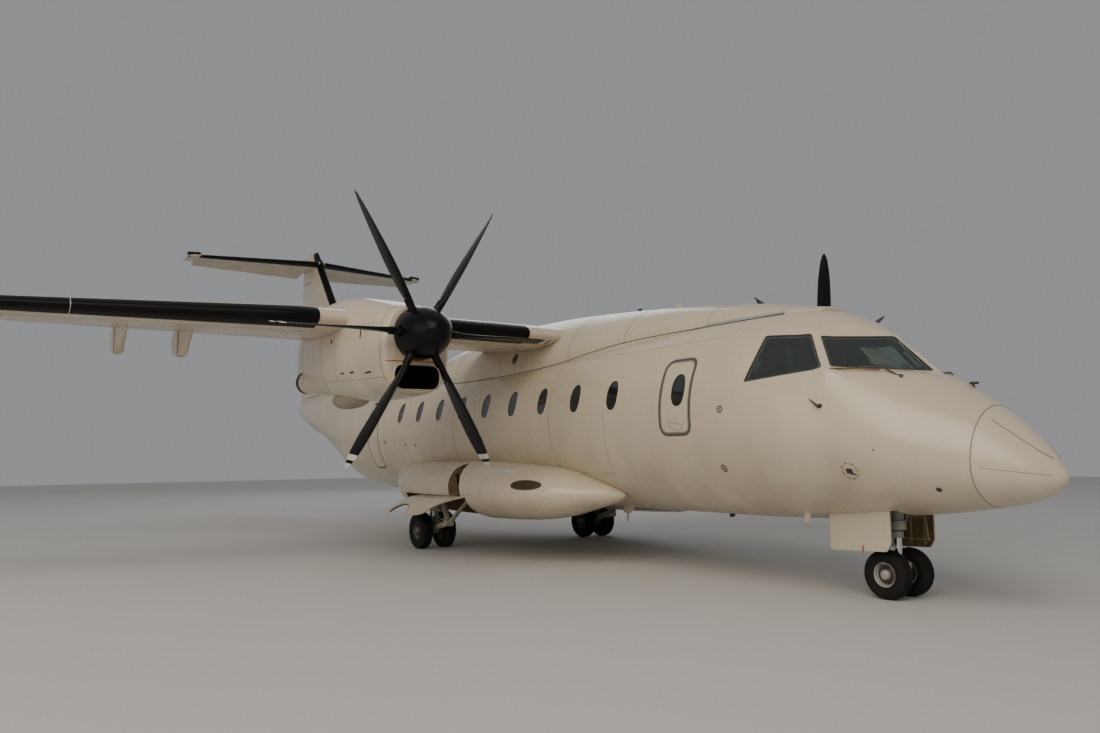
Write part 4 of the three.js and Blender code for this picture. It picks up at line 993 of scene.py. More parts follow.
wingFlaps = {"flap_inner": ((1.62, 2.13), (3.0, 2.13)), "flap_outer": ((4.12, 2.13), (6.6, 2.0)),
    "aileron": ((6.67, 1.99), (10.1, 1.86))}
flapArms = ((2.3, "flap_inner"), (5.63, "flap_outer"), (6.39, "flap_outer"))
flapPivot = {"ahead": 0.02, "z": 2.86}
armCurve = {"width": 0.055, "round": 0.03}


def boat(out, front, rear, depths):  # a slim fairing under the wing
    rows = [(-(front + (rear - front) * i / (len(depths) - 1)), d, w) for i, (d, w) in enumerate(depths)]
    depthOf, widthOf = curveThrough(rows, 1), curveThrough(rows, 2)
    rings = []
    for x in spread(front, rear, 0.04):
        w, low, top = armCurve["width"] * widthOf(-x), wing["z"] - depthOf(-x), wing["z"] - 0.04
        keel = [(x, -out - w * cos(a), low + armCurve["round"] * (1 - sin(a)))
            for a in [pi * i / 14 for i in range(15)]]
        rings.append([(x, -out - w, top)] + keel + [(x, -out + w, top)])
    return loft(rings)


movers = {}
wingCuts = []
for name, ends in wingFlaps.items():
    line = [wingEnd(*end) for end in ends]
    gap = foil["flapEndGap"] if name.startswith("flap") else foil["gap"]
    room = hingeSpace(longer(line, gap, gap), flatWise, foil["gap"])
    wingCuts += [room, mirrored(room)]
    movers[name] = within(copied(wholeWing), hingeSpace(line, flatWise))
wingCuts.append(shell(6.0, -0.5, -0.002, step=0.25))
wingSolid = cut(wholeWing, *wingCuts)
armParts = {name: [] for name in movers}
fixedArms = []
for out, flap in flapArms:
    (innerOut, innerX), (outerOut, outerX) = wingFlaps[flap]
    x = innerX + (outerX - innerX) * (out - innerOut) / (outerOut - innerOut) + flapPivot["ahead"]
    z = flapPivot["z"]
    fixedArms += [boat(out, x + 0.62, x + 0.09, [(0.14, 0.4), (0.4, 1)]),
        box((x - 0.016, -out - 0.012, z - 0.018), (x + 0.1, -out + 0.012, z + 0.018), 0.004),
        rod((x, -out - 0.043, z), (x, -out + 0.043, z), 0.01)]
    armParts[flap] += [box((x - 0.06, -out + side * 0.032 - 0.013, z - 0.022),
        (x + 0.018, -out + side * 0.032 + 0.013, z + 0.022), 0.005) for side in (-1, 1)]
    armParts[flap].append(boat(out, x - 0.05, x - 0.75, [(0.4, 1), (0.36, 0.8), (0.16, 0.25)]))
dress(merged(wingSolid, *fixedArms, *[mirrored(a) for a in fixedArms]), "wingSkin", paint, ["wing"])
for name, moving in movers.items():
    title = {"flap_inner": "innerFlap", "flap_outer": "outerFlap", "aileron": "aileronSkin"}[name]
    dressPair(merged(moving, *armParts[name]), title, paint, [name], body=name)


def boot(spans, ring, share=0.075, under=0.11, lift=0.0018):
    # rubber on a leading edge: a thin sleeve from the upper seam round to the lower one
    count = 18
    top = [share * (i / count) ** 2 for i in range(count, -1, -1)]
    bottom = [under * (i / count) ** 2 for i in range(1, count + 1)]
    rings = []
    for span in spans:
        outer = [ring(span, s, 1, lift if i else 0.0) for i, s in enumerate(top)]
        outer += [ring(span, s, -1, lift if i < count - 1 else 0.0) for i, s in enumerate(bottom)]
        outer = [p + Vector((lift if 0 < i < len(outer) - 1 else 0.0, 0, 0)) for i, p in enumerate(outer)]
        inner = [ring(span, s, -1, -0.004) for s in reversed(bottom)] + [ring(span, s, 1, -0.004)
            for s in reversed(top)]
        inner = [p - Vector((0.004, 0, 0)) for p in inner]
        rings.append(outer + inner)
    return loft(rings)


bootEnds = {"outer": ((-4.38, -4.6, -7.05), (-7.06, -7.7, -10.13)), "inner": (-1.3, -2.2, -3.06)}


def withKinks(ends, step=0.3):  # stations that also stand at the bends of a leading edge
    return [s for a, b in zip(ends, ends[1:]) for s in spread(a, b, step)[:-1]] + [ends[-1]]


bootParts = [boot(withKinks(ends), onWing) for ends in (*bootEnds["outer"], bootEnds["inner"])]
dressPair(merged(*bootParts), "wingBoots", bootRubber)

# Fairing between wing and roof
roofFairing = makeBody([(8.2, 3.08, 2.98, 2.85, 0.25), (7.885, 3.13, 2.98, 2.8, 0.46),
    (7.395, 3.235, 2.97, 2.75, 0.575), (6.75, 3.315, 2.97, 2.7, 0.605), (6.1, 3.395, 2.93, 2.65, 0.68),
    (5.45, 3.455, 2.87, 2.6, 0.765), (4.6, 3.52, 2.8, 2.5, 0.845), (3.57, 3.585, 2.72, 2.4, 0.92),
    (2.4, 3.61, 2.69, 2.35, 0.945), (1.2, 3.56, 2.7, 2.35, 0.94), (0.2, 3.44, 2.74, 2.4, 0.9),
    (-0.8, 3.28, 2.86, 2.6, 0.68), (-1.5, 3.17, 2.98, 2.8, 0.4)], ease=0.25)


def grownWing(out, thick, spans):  # a straight stretch of wing, a millimetre larger
    lead, chord, _ = wingAt(out)
    return loft([aerofoil(lead + 0.001, chord + 0.002, thick, span, flatWise, wing["z"], wing["bulge"])
        for span in spans])


fairingSolid = cut(roofFairing.make(spread(8.2, -1.5, 0.1), 96), shell(9.3, -3.0, -0.002, 128),
    grownWing(1.0, 0.152, (-1.6, 1.6)))
dress(fairingSolid, "roofFairing", paint, ["wing_fairing"])
print("wing made")

# Tail surfaces
tail = {"z": 6.84, "rows": [(0, -8.9, 1.62, 0.11), (3.2, -9.66, 0.86, 0.1), (3.35, -9.76, 0.72, 0.08)],
    "droop": 17}


def tailAt(out):
    rows = tail["rows"]
    a, b = (rows[0], rows[1]) if out <= rows[1][0] else (rows[1], rows[2])
    t = (out - a[0]) / (b[0] - a[0])
    return [a[k] + (b[k] - a[k]) * t for k in (1, 2, 3)]


def onTail(span, share, side, lift=0.0):
    lead, chord, thick = tailAt(abs(span))
    return Vector((lead - share * chord, span, tail["z"] + side
        * (halfThickness(share) * thick * chord + lift)))


tailSpans = sorted(spread(-3.2, 3.2, 0.4) + [-3.35, -3.3, -3.25, 3.25, 3.3, 3.35])
wholeTail = loft([aerofoil(*tailAt(abs(s)), s, flatWise, tail["z"]) for s in tailSpans])


def tailEnd(out, x):
    lead, chord, thick = tailAt(out)
    return {"span": -out, "x": x, "middle": tail["z"], "radius": halfThickness((lead - x) / chord) * thick
        * chord}


elevatorLine = [tailEnd(0.2, -9.86), tailEnd(3.12, -10.15)]
elevatorRoom = hingeSpace(longer(elevatorLine, foil["gap"], foil["gap"]), flatWise, foil["gap"])
elevator = within(copied(wholeTail), hingeSpace(elevatorLine, flatWise))
a, b = [Vector((end["x"], end["span"], end["middle"])) for end in elevatorLine]
droop = (Matrix.Translation(a) @ Matrix.Rotation(radians(tail["droop"]), 4, b - a) @ Matrix.Translation(-a))
moved(elevator, droop)
tailSolid = cut(wholeTail, elevatorRoom, mirrored(elevatorRoom))


fin = {"trail": -10.5, "lead": (-7.831, 5.627), "rake": 0.9077, "low": 2.8, "top": 6.84, "capFrom": 7.12,
    "thick": (0.07, 0.11), "capThin": 0.5}


def finLead(z):
    return fin["lead"][0] - (z - fin["lead"][1]) * fin["rake"]


def finSection(z):
    chord = finLead(z) - fin["trail"]
    foot, head = fin["thick"]
    if z > fin["top"]:
        return finLead(z), chord, head - fin["capThin"] * max(0.0, z - fin["capFrom"])
    low, high = foot * (finLead(fin["low"]) - fin["trail"]), head * (finLead(fin["top"]) - fin["trail"])
    return finLead(z), chord, (low + (high - low) * (z - fin["low"]) / (fin["top"] - fin["low"])) / chord


def onFin(z, share, side, lift=0.0):
    lead, chord, thick = finSection(z)
    return Vector((lead - share * chord, side * (halfThickness(share) * thick * chord + lift), z))


wholeFin = loft([aerofoil(*finSection(z), z, uprightWise) for z in spread(fin["low"], fin["top"], 0.25)])
finTip = loft([aerofoil(*finSection(z), z, uprightWise) for z in (fin["top"], 7.0, fin["capFrom"], 7.17,
    7.21, 7.24)])
rudderLine = []
for z, x in ((3.14, -8.5), (6.38, -9.55)):
    lead, chord, thick = finSection(z)
    rudderLine.append({"span": z, "x": x, "middle": 0.0, "radius": halfThickness((lead - x) / chord) * thick
        * chord})
rudder = within(copied(wholeFin), hingeSpace(rudderLine, uprightWise))
finSolid = cut(wholeFin, hingeSpace(longer(rudderLine, 0.022, 0.05), uprightWise, foil["gap"]),
    shell(-5.0, -10.5, -0.002, 96))
dress(finSolid, "finSkin", paint, ["fin"])
dress(rudder, "rudderSkin", paint, ["rudder"], body="rudder")
dress(merged(tailSolid, finTip), "tailplaneSkin", paint, ["tailplane"])
dressPair(elevator, "elevatorSkin", paint, ["elevator"], body="elevator")
dressPair(boot(spread(-0.09, -3.32, 0.3), onTail, 0.08, 0.16), "tailplaneBoots", bootRubber)
hornRings = []
for out, y in ((2.95, -3.04), (4.3, -3.345)):
    lead = -9.44 - out * 0.07
    hornRings.append([(x, y, z) for x, z in ((lead, 6.86), (lead, 6.93), (lead - 0.08, 6.95), (-9.9, 6.945),
        (-9.9, 6.86))])
tipHorn = rounded(loft(hornRings), 0.02)
dressPair(tipHorn, "tailTipHorn", bootRubber)
finBootSize = {"share": 0.13, "chord": 2.0, "bulge": 0.05, "reach": 0.2}


def finBootPlace(z, share, side, lift):
    # one width all the way up, and swelling where it passes the tailplane
    near = max(0.0, 1 - abs(z - tail["z"]) / finBootSize["reach"])
    swell = finBootSize["bulge"] * near * near * (3 - 2 * near)
    p = onFin(z, share * finBootSize["chord"] / finSection(z)[1], side, lift + swell * 0.35)
    return p + Vector((swell, 0, 0))


dress(boot(spread(3.4, 6.6, 0.3) + spread(6.66, 7.2, 0.045) + [7.225], finBootPlace, finBootSize["share"],
    finBootSize["share"]), "finBoot", bootRubber)
print("tail made")

# Nacelles: x, top, middle, bottom, half width
engineY, screwHeight = 3.559, 2.907
cowl = makeBody([(5.0, 3.245, 2.78, 2.215, 0.4), (4.85, 3.285, 2.79, 2.195, 0.45),
    (4.5, 3.37, 2.81, 2.185, 0.49), (3.925, 3.49, 2.83, 2.18, 0.5), (3.4, 3.585, 2.84, 2.21, 0.5),
    (2.8, 3.64, 2.84, 2.29, 0.48), (2.2, 3.64, 2.82, 2.4, 0.44), (1.7, 3.55, 2.8, 2.49, 0.37),
    (1.2, 3.34, 2.8, 2.6, 0.25), (0.7, 3.02, 2.84, 2.74, 0.07)], -engineY, 0.72, ease=0.15)
exhaust = {"from": Vector((2.9, -3.7, 2.5)), "to": Vector((1.9, -3.88, 2.55)), "bore": 0.13, "depth": 0.25}
intake = {"half": 0.3, "z": (2.25, 2.55), "middle": 2.4, "round": 0.14,
    "shares": ((5.1, 1.0), (4.96, 1.0), (4.9, 0.96), (4.3, 0.9))}
frontEdge = [(5.0, 0.03), (4.994, 0.015), (4.982, 0.006), (4.96, 0.001)]
cowlSolid = loft([cowl.ring(x, 96, inset) for x, inset in frontEdge]
    + [cowl.ring(x, 96) for x in spread(4.93, 0.7, 0.07)])
cowlSolid = combine(cowlSolid, ("UNION", rod(exhaust["from"], exhaust["to"], 0.2, 0.155, 48, 0.006)))
intakeOutline = softened(oblong(-intake["half"], intake["z"][0], intake["half"], intake["z"][1]),
    intake["round"], 8)
intakeRoom = loft([[(x, -engineY + y * share, (z - intake["middle"]) * share + intake["middle"])
    for y, z in intakeOutline] for x, share in intake["shares"]])
away = exhaust["to"] - exhaust["from"]
exhaustBore = rod(exhaust["to"] - away * exhaust["depth"], exhaust["to"] + away * 0.1, exhaust["bore"],
    sides=48)
engineSpace = {"rear": 3.19, "half": 0.271, "z": (2.619, 3.031), "fit": 0.0005, "plate": (4.97, 4.993)}


def engineBox(rear, front, fit):
    half, (low, high) = engineSpace["half"] - fit, engineSpace["z"]
    return box((rear, -engineY - half, low + fit), (front, -engineY + half, high - fit))


engineRoom = engineBox(engineSpace["rear"], 5.2, 0)
cowlSolid = cut(cowlSolid, grownWing(4.0, 0.151, (-4.58, -2.5)), engineRoom, intakeRoom, exhaustBore)


def cowlShadeFace(centre, normal):  # painted shade: intake and exhaust are black inside
    inward = normal.dot(Vector((0, centre.y + engineY, centre.z - intake["middle"]))) < 0
    inIntake = (4.2 < centre.x < 4.985 and abs(centre.y + engineY) < intake["half"] + 0.01
        and intake["z"][0] - 0.01 < centre.z < intake["z"][1] + 0.01)
    if inIntake and (inward or normal.x > 0.9):
        return 1
    fromBore = (centre - exhaust["to"]).cross(away.normalized()).length
    return 1 if centre.x < 2.3 and fromBore < exhaust["bore"] + 0.004 else 0


dressPair(cowlSolid, "cowl", [paint, shadeBlack], ["nacelle"], choose=cowlShadeFace)
for side in ("right", "left"):
    block = frame["nodes"]["engine_" + side]
    block.data.materials.clear()
    block.data.materials.append(engineMetal)
lipRings = []
for y, z in intakeOutline:
    out = Vector((0, y, z - intake["middle"])).normalized()
    lipRings.append([Vector((4.995, y - engineY, z)) + (out * cos(t) + Vector((1, 0, 0)) * sin(t)) * 0.014
        for t in circle(10)])
intakeLip = loft(lipRings, closed=True)
dressPair(intakeLip, "intakeLip", paint)
frontPlate = cut(engineBox(*engineSpace["plate"], engineSpace["fit"]),
    rod((4.9, -engineY, screwHeight), (5.1, -engineY, screwHeight), 0.13))
dressPair(frontPlate, "cowlFrontPlate", paint)
print("nacelles made")

# Sponsons: x, centre y, centre z, half width, half height
sponsonRows = [(5.6, -0.62, 0.93, 0.12, 0.1), (5.35, -0.75, 0.93, 0.3, 0.2), (5.0, -0.98, 0.94, 0.48, 0.26),
    (4.5, -1.14, 0.95, 0.6, 0.34), (3.7, -1.26, 0.955, 0.63, 0.395), (2.7, -1.27, 0.965, 0.64, 0.42),
    (1.4, -1.27, 0.97, 0.64, 0.415), (0.7, -1.25, 0.98, 0.6, 0.39), (0.2, -1.18, 1.03, 0.5, 0.31),
    (-0.4, -1.08, 1.12, 0.33, 0.2), (-0.95, -0.98, 1.2, 0.12, 0.08)]
sponsonCurves = [curveThrough(sponsonRows, k) for k in (1, 2, 3, 4)]
noseCap = {"from": 4.2, "to": 5.35, "power": 2.0}  # rounds the front end off


def onSponson(x, angle, lift=0.0):
    y, z, wide, high = [c(x) for c in sponsonCurves]
    share = max(0.0, min(0.9995, (x - noseCap["from"]) / (noseCap["to"] - noseCap["from"])))
    cap = (1 - share ** noseCap["power"]) ** (1 / noseCap["power"])
    return Vector((x, y + (wide * cap + lift) * cos(angle), z + (high * cap + lift) * sin(angle)))


bay = {"x": (0.95, 3.05), "y": (-1.74, -1.14), "top": 1.2, "sill": 0.88}
sponsonSolid = loft([[onSponson(x, a) for a in circle(72)] for x in [noseCap["to"] - 0.1 * (i / 6) ** 2
    for i in range(6)] + spread(noseCap["to"] - 0.1, -0.95, 0.07)])
baySlot = softened([(2.58, 0.8), (2.57, 0.95), (2.5, 1.15), (2.41, 1.3), (2.47, 1.36), (2.62, 1.31),
    (2.75, 1.22), (2.86, 1.1), (2.92, 0.95), (2.92, 0.8)], 0.03)
gearBay = combine(box((bay["x"][0], bay["y"][0], 0.3), (bay["x"][1], bay["y"][1], bay["top"])),
    ("UNION", box((bay["x"][0], -2.1, 0.3), (bay["x"][1], bay["y"][1] - 0.01, bay["sill"]))),
    ("UNION", sidePlate(baySlot, -2.1, -1.4)))
sponsonSolid = combine(sponsonSolid, ("UNION", rod((4.1, -1.3, 0.575), (4.1, -1.3, 0.8), 0.05)),
    ("DIFFERENCE", shell(6.6, -2.0, -0.002, 128, 0.2)), ("DIFFERENCE", gearBay))


def sponsonFace(centre, normal):
    y, z, wide, high = [c(centre.x) for c in sponsonCurves]
    reach = hypot((centre.y - y) / wide, (centre.z - z) / high)
    return 1 if reach < 0.985 and bay["x"][0] - 0.02 < centre.x < bay["x"][1] + 0.02 else 0


dressPair(sponsonSolid, "sponsonSkin", [paint, bayPaint], ["sponson"], choose=sponsonFace)

# Main gear doors, hung open
doorRows = [(bay["sill"] - 0.0003, -1.85), (0.82, -1.96), (0.7, -2.04), (0.58, -2.085), (0.42, -2.1)]
doorY = curveThrough(doorRows, 1)
doorHeights = spread(bay["sill"] - 0.0003, 0.42, 0.02)
doorRing = [(doorY(z), z) for z in doorHeights] + [(doorY(z) - 0.025, z) for z in reversed(doorHeights)]
wheelNotch = [(0.86, 0.578), (1.0, 0.632), (1.22, 0.692), (1.4, 0.706), (1.52, 0.682), (1.515, 0.61),
    (1.47, 0.54)]
lowerLip = [(1.47, 0.54), (1.72, 0.56), (2.05, 0.605), (2.31, 0.71), (2.6, 0.79), (2.93, 0.862),
    (3.03, 0.875)]
doorOutline = [(3.03, 0.9)] + lowerLip[::-1] + wheelNotch[-2::-1] + [(0.74, 0.54), (0.7, 0.55),
    (0.74, 0.59), (0.95, 0.68), (1.15, 0.77), (1.4, 0.84), (1.7, 0.885), (1.9, 0.9)]
mainDoor = within(loft([[(x, y, z) for y, z in doorRing] for x in (0.4, 3.3)]),
    sidePlate(softened(doorOutline, 0.02), -2.3, -1.8))
dressPair(mainDoor, "mainDoorPanel", paint, ["main_door"])


def alongDoor(path, radius):  # a round bead on the edge of a main gear door
    points = [(x, doorY(min(z, bay["sill"] - 0.001)) - 0.0125, z) for x, z in path]
    return tube(smoothPath(points, 6), radius, 10)


dressPair(alongDoor(wheelNotch, 0.0135), "doorNotchSeal", bootRubber, slot="tyre_rubber")
dressPair(alongDoor(lowerLip, 0.0135), "doorLowerLip", cream)
doorRibs = [box((x - 0.012, -2.02, 0.66), (x + 0.012, -1.9, 0.8), 0.004) for x in (1.75, 2.2)]
hooks = [rod((x, -1.7, 0.94), (x, -1.965, 0.8), 0.014) for x in (1.62, 2.52)]
dressPair(merged(*hooks, *doorRibs), "mainDoorLinks", legPaint, slot="gear_paint")
noseDoorOutline = softened([(8.31, 1.0), (8.31, 0.46), (8.98, 0.49), (9.03, 0.57), (9.03, 1.0)], 0.02)
noseDoor = rounded(sidePlate(noseDoorOutline, -bayHalf + 0.0003, -bayHalf + 0.022), 0.003)
noseDoorRibs = []
for x in (8.42, 8.6, 8.78, 8.93):
    noseDoorRibs.append(box((x - 0.012, -bayHalf + 0.02, 0.52), (x + 0.012, -bayHalf + 0.042, 0.92), 0.004))
for z in (0.56, 0.78):
    noseDoorRibs.append(box((8.34, -bayHalf + 0.02, z), (8.99, -bayHalf + 0.036, z + 0.02), 0.004))
noseDoorRibs.append(rod((8.98, -bayHalf + 0.045, 0.56), (8.93, -bayHalf + 0.045, 0.98), 0.013))


def doorInner(centre, normal):
    return 1 if normal.y > 0.7 else 0


dressPair(noseDoor, "noseDoorPanel", [paint, bayPaint], ["nose_door"], choose=doorInner)
dressPair(merged(*noseDoorRibs), "noseDoorRibs", ribPaint, slot="gear_paint")
warning = box((8.7, -bayHalf - 0.0012, 0.462), (8.718, -bayHalf + 0.001, 0.535))
dressPair(warning, "noseDoorMark", signalRed)

# Inside the gear bays: frames and pipes
bayParts = [box((x - 0.012, -bayHalf + 0.001, 1.02), (x + 0.012, bayHalf - 0.001, 1.385), 0.004)
    for x in (8.36, 8.55, 9.06)]
bayCut = box((7.9, -bayHalf + 0.035, 0.9), (9.5, bayHalf - 0.035, 1.36))
bayParts = [cut(part, bayCut) for part in bayParts]
for y, x in ((-0.33, 9.08), (-0.3, 9.05), (0.33, 9.07), (0.29, 9.09)):
    bayParts.append(tube(smoothPath([(x, y, 0.9), (x - 0.02, y * 0.95, 1.1), (x - 0.2, y * 0.9, 1.33),
        (8.35, y * 0.9, 1.35)]), 0.009))
dress(merged(*bayParts), "noseBayFrames", ribPaint, slot="gear_paint")
sideBay = []
for x in (1.0, 1.75, 2.2, 2.62, 2.98):
    hoopBlock = box((x - 0.013, bay["y"][0] + 0.001, 0.89), (x + 0.013, bay["y"][1] - 0.001,
        bay["top"] - 0.001), 0.0)
    sideBay.append(cut(hoopBlock, box((x - 0.1, bay["y"][0] + 0.05, 0.8),
        (x + 0.1, bay["y"][1] - 0.05, bay["top"] - 0.05))))
for y, z in ((-1.2, 1.14), (-1.24, 1.15), (-1.68, 1.14)):
    sideBay.append(tube([(1.0, y, z), (1.8, y - 0.01, z + 0.01), (2.4, y, z - 0.01), (3.02, y, z)], 0.009))
dressPair(merged(*sideBay), "mainBayFrames", ribPaint, slot="gear_paint")
print("gear doors made")

# Wheels
wheelSets = {"nose": {"x": 8.845, "y": 0.0, "radius": 0.245, "width": 0.17, "rim": 0.125, "half": 0.18},
    "main": {"x": 1.425, "y": -1.61, "radius": 0.29, "width": 0.195, "rim": 0.135, "half": 0.205}}


def tyreSolid(gear, centre):
    w, rim, radius = gear["width"] / 2, gear["rim"], gear["radius"]
    middle = (rim + radius) / 2
    outline = [(rim, -w * 0.76), (rim + 0.012, -w * 0.84), (middle - 0.02, -w * 0.97), (middle + 0.01, -w),
        (radius - 0.045, -w * 0.97), (radius - 0.022, -w * 0.86), (radius - 0.008, -w * 0.7),
        (radius - 0.002, -w * 0.5)]
    outline = [(p.x, p.y) for p in smoothPath([(*p, 0) for p in outline], 4)]
    treads = []
    for y in (-0.36, -0.12, 0.12, 0.36):
        treads += [(radius, w * (y - 0.035)), (radius - 0.006, w * (y - 0.025)),
            (radius - 0.006, w * (y + 0.025)), (radius, w * (y + 0.035))]
    profile = outline + treads + [(r, -y) for r, y in reversed(outline)]
    return turned(profile, centre, (0, 1, 0), 72)


def rimSolid(gear, centre, sign):
    r, w = gear["rim"] - 0.0003, gear["width"] / 2
    profile = [(0, -w * 0.5), (0.04, -w * 0.5), (0.05, -w * 0.38), (r - 0.024, -w * 0.3),
        (r - 0.018, -w * 0.4), (r - 0.012, -w * 0.66), (r - 0.005, -w * 0.72), (r, -w * 0.7), (r, w * 0.7),
        (r - 0.005, w * 0.73), (r - 0.011, w * 0.68), (r - 0.017, w * 0.4), (r - 0.026, w * 0.25),
        (r - 0.045, w * 0.2), (0.062, w * 0.3), (0.052, w * 0.42), (0.046, w * 0.7), (0.038, w * 0.76),
        (0, w * 0.76)]
    return turned([(a, y * sign) for a, y in profile], centre, (0, 1, 0), 56)


for label, gear in wheelSets.items():
    def hollowShadeFace(centre, normal, gear=gear):  # painted shade: the hollow round the hub cap is dark
        out = hypot(centre.x - gear["x"], centre.z - gear["radius"])
        return 1 if 0.049 < out < gear["rim"] - 0.022 else 0

    hubs = [(s, Vector((gear["x"], gear["y"] + s * gear["half"], gear["radius"]))) for s in (-1, 1)]
    rims = [rimSolid(gear, hub, s) for s, hub in hubs]
    bolts = []
    for s, hub in hubs:
        for a in circle(8):
            r = (gear["rim"] + 0.045) / 2 + 0.004
            p = hub + Vector((r * cos(a), 0, r * sin(a)))
            bolts.append(rod(p + Vector((0, s * 0.008, 0)), p + Vector((0, s * (gear["width"] * 0.16), 0)),
                0.0075, sides=6, edge=0.0015))
    axle = rod(hubs[0][1], hubs[1][1], 0.036)
    wheels = merged(*rims, *bolts, axle)
    tyres = [tyreSolid(gear, hub) for _, hub in hubs]
    if label == "nose":
        dress(wheels, "noseWheelRims", [rimPaint, hubHollowShade], ["nose_wheels"], body="nose_wheels",
            slot="wheel_metal", choose=hollowShadeFace)
        for side, tyre in zip(("right", "left"), tyres):
            dress(tyre, f"noseTyre_{side}", tyreRubber, [f"nose_tyre_{side}"], body="nose_wheels",
                slot="tyre_rubber", angle=50)
    else:
        dressPair(wheels, "mainWheelRims", [mainRimShaded, hubHollowShade], ["main_wheels"], body="main_wheels",
            slot="wheel_metal", choose=hollowShadeFace)
        for which, tyre in zip(("Outer", "Inner"), tyres):
            dressPair(tyre, f"mainTyre{which}", tyreRubber, [f"main_tyre_{which.lower()}"],
                body="main_wheels", slot="tyre_rubber", angle=50)
print("wheels made")

# Legs
nose = wheelSets["nose"]
noseX = nose["x"]


def atNose(ahead, out, z):
    return noseX + ahead, out, z


noseFixed = merged(rod(atNose(0, 0, 0.68), atNose(0, 0, 1.399), 0.07, 0.085, 32, 0.004),
    rod(atNose(0, 0, 0.68), atNose(0, 0, 0.78), 0.092, edge=0.006),
    rod(atNose(0, 0, 0.92), atNose(0, 0, 0.96), 0.094, edge=0.006),
    rod(atNose(-0.45, 0, 1.34), atNose(0, 0, 0.95), 0.032), rod(atNose(0, -0.3, 1.25), atNose(0, 0.3, 1.25),
    0.04), tube(smoothPath([atNose(-0.06, -0.08, 1.3), atNose(-0.09, -0.09, 1.0),
    atNose(-0.07, -0.075, 0.8)]), 0.009), tube(smoothPath([atNose(0.05, 0.08, 1.3), atNose(0.08, 0.09, 1.0),
    atNose(0.06, 0.08, 0.75)]), 0.008))
dress(noseFixed, "noseLegCasting", legPaint, ["nose_leg"], slot="gear_paint")
noseMoving = merged(rod(atNose(0, 0, 0.25), atNose(0, 0, 0.42), 0.058, edge=0.004),
    rod(atNose(0, 0, 0.4), atNose(0, 0, 0.66), 0.047), rod(atNose(0, -0.08, nose["radius"]),
    atNose(0, 0.08, nose["radius"]), 0.066, edge=0.004), box(atNose(0, -0.035, 0.29),
    atNose(0.13, 0.035, 0.36), 0.006), tube([atNose(-0.03, 0, 0.33), atNose(-0.13, 0, 0.46)], 0.02),
    tube([atNose(-0.13, 0, 0.46), atNose(-0.03, 0, 0.6)], 0.02),
    rod(atNose(-0.13, -0.035, 0.46), atNose(-0.13, 0.035, 0.46), 0.014),
    rod(atNose(0, 0, 0.6), atNose(0, 0, 0.67), 0.062, edge=0.004))


def polished(low, high, radius, x, y):
    def choose(centre, normal):
        return 1 if low < centre.z < high and hypot(centre.x - x, centre.y - y) < radius else 0
    return choose


dress(noseMoving, "noseStrut", [legPaint, chrome], ["nose_steering"], body="nose_steering",
    slot="gear_paint", choose=polished(0.42, 0.6, 0.0475, noseX, 0))
main = wheelSets["main"]
mainX, mainY = main["x"], main["y"]


def atMain(ahead, inward, z):
    return mainX + ahead, mainY + inward, z


mainLeg = merged(rod(atMain(0, 0, main["radius"]), atMain(0, 0, 0.5), 0.064, edge=0.004),
    rod(atMain(0, 0, 0.48), atMain(0, 0, 0.7), 0.05), rod(atMain(0, 0, 0.66),
    atMain(0, 0, bay["top"] - 0.001), 0.08, 0.1, 32, 0.004), rod(atMain(0, 0, 0.66), atMain(0, 0, 0.71),
    0.092, edge=0.005), rod((mainX + 0.95, -1.45, bay["top"] - 0.05), atMain(0, 0, 0.74), 0.035),
    rod((mainX - 0.02, -1.22, bay["top"] - 0.06), atMain(0, 0, 0.8), 0.035),
    tube([atMain(0.03, 0, 0.36), atMain(0.19, 0, 0.5)], 0.025),
    tube([atMain(0.19, 0, 0.5), atMain(0.04, 0, 0.68)], 0.025),
    rod(atMain(0.19, -0.045, 0.5), atMain(0.19, 0.045, 0.5), 0.016),
    rod(atMain(0, -0.095, main["radius"]), atMain(0, 0.095, main["radius"]), 0.066, edge=0.004),
    tube(smoothPath([atMain(0.07, -0.06, 1.1), atMain(0.12, -0.05, 0.8), atMain(0.07, -0.06, 0.5),
    atMain(0.04, -0.05, 0.33)]), 0.008), tube(smoothPath([atMain(0.05, 0.07, 1.1), atMain(0.1, 0.06, 0.75),
    atMain(0.05, 0.07, 0.4)]), 0.008))
dressPair(mainLeg, "mainLegCasting", [legPaint, chrome], ["main_leg"], slot="gear_paint",
    choose=polished(0.5, 0.66, 0.0505, mainX, mainY))
knee = Vector(atMain(0.56, 0, 0.43))
links = [rod(atMain(0.05, 0, 0.33), knee, 0.052, 0.045), rod(knee - Vector((0, 0.07, 0)),
    knee + Vector((0, 0.07, 0)), 0.058, edge=0.006), rod(knee, atMain(0.2, 0, 1.05), 0.045, 0.055),
    rod(knee + Vector((0.02, 0, 0)), (mainX + 1.25, -1.52, 0.93), 0.024),
    rod(knee + Vector((0, 0.05, 0)), (mainX + 1.1, -1.3, 1.05), 0.02),
    box(atMain(-0.08, -0.075, 0.6), atMain(0.24, 0.075, 0.69), 0.012),
    rod(atMain(0.3, -0.06, 0.62), atMain(0.3, 0.06, 0.62), 0.03, edge=0.004),
    tube(smoothPath([atMain(0.6, 0.04, 0.42), atMain(0.45, 0.05, 0.62), atMain(0.3, 0.05, 0.95)]), 0.009),
    tube(smoothPath([atMain(0.1, -0.05, 0.38), atMain(0.35, -0.055, 0.46), atMain(0.55, -0.05, 0.5)]),
    0.008)]
dressPair(merged(*links), "mainLegLinks", legCream, slot="gear_paint")
print("legs made")

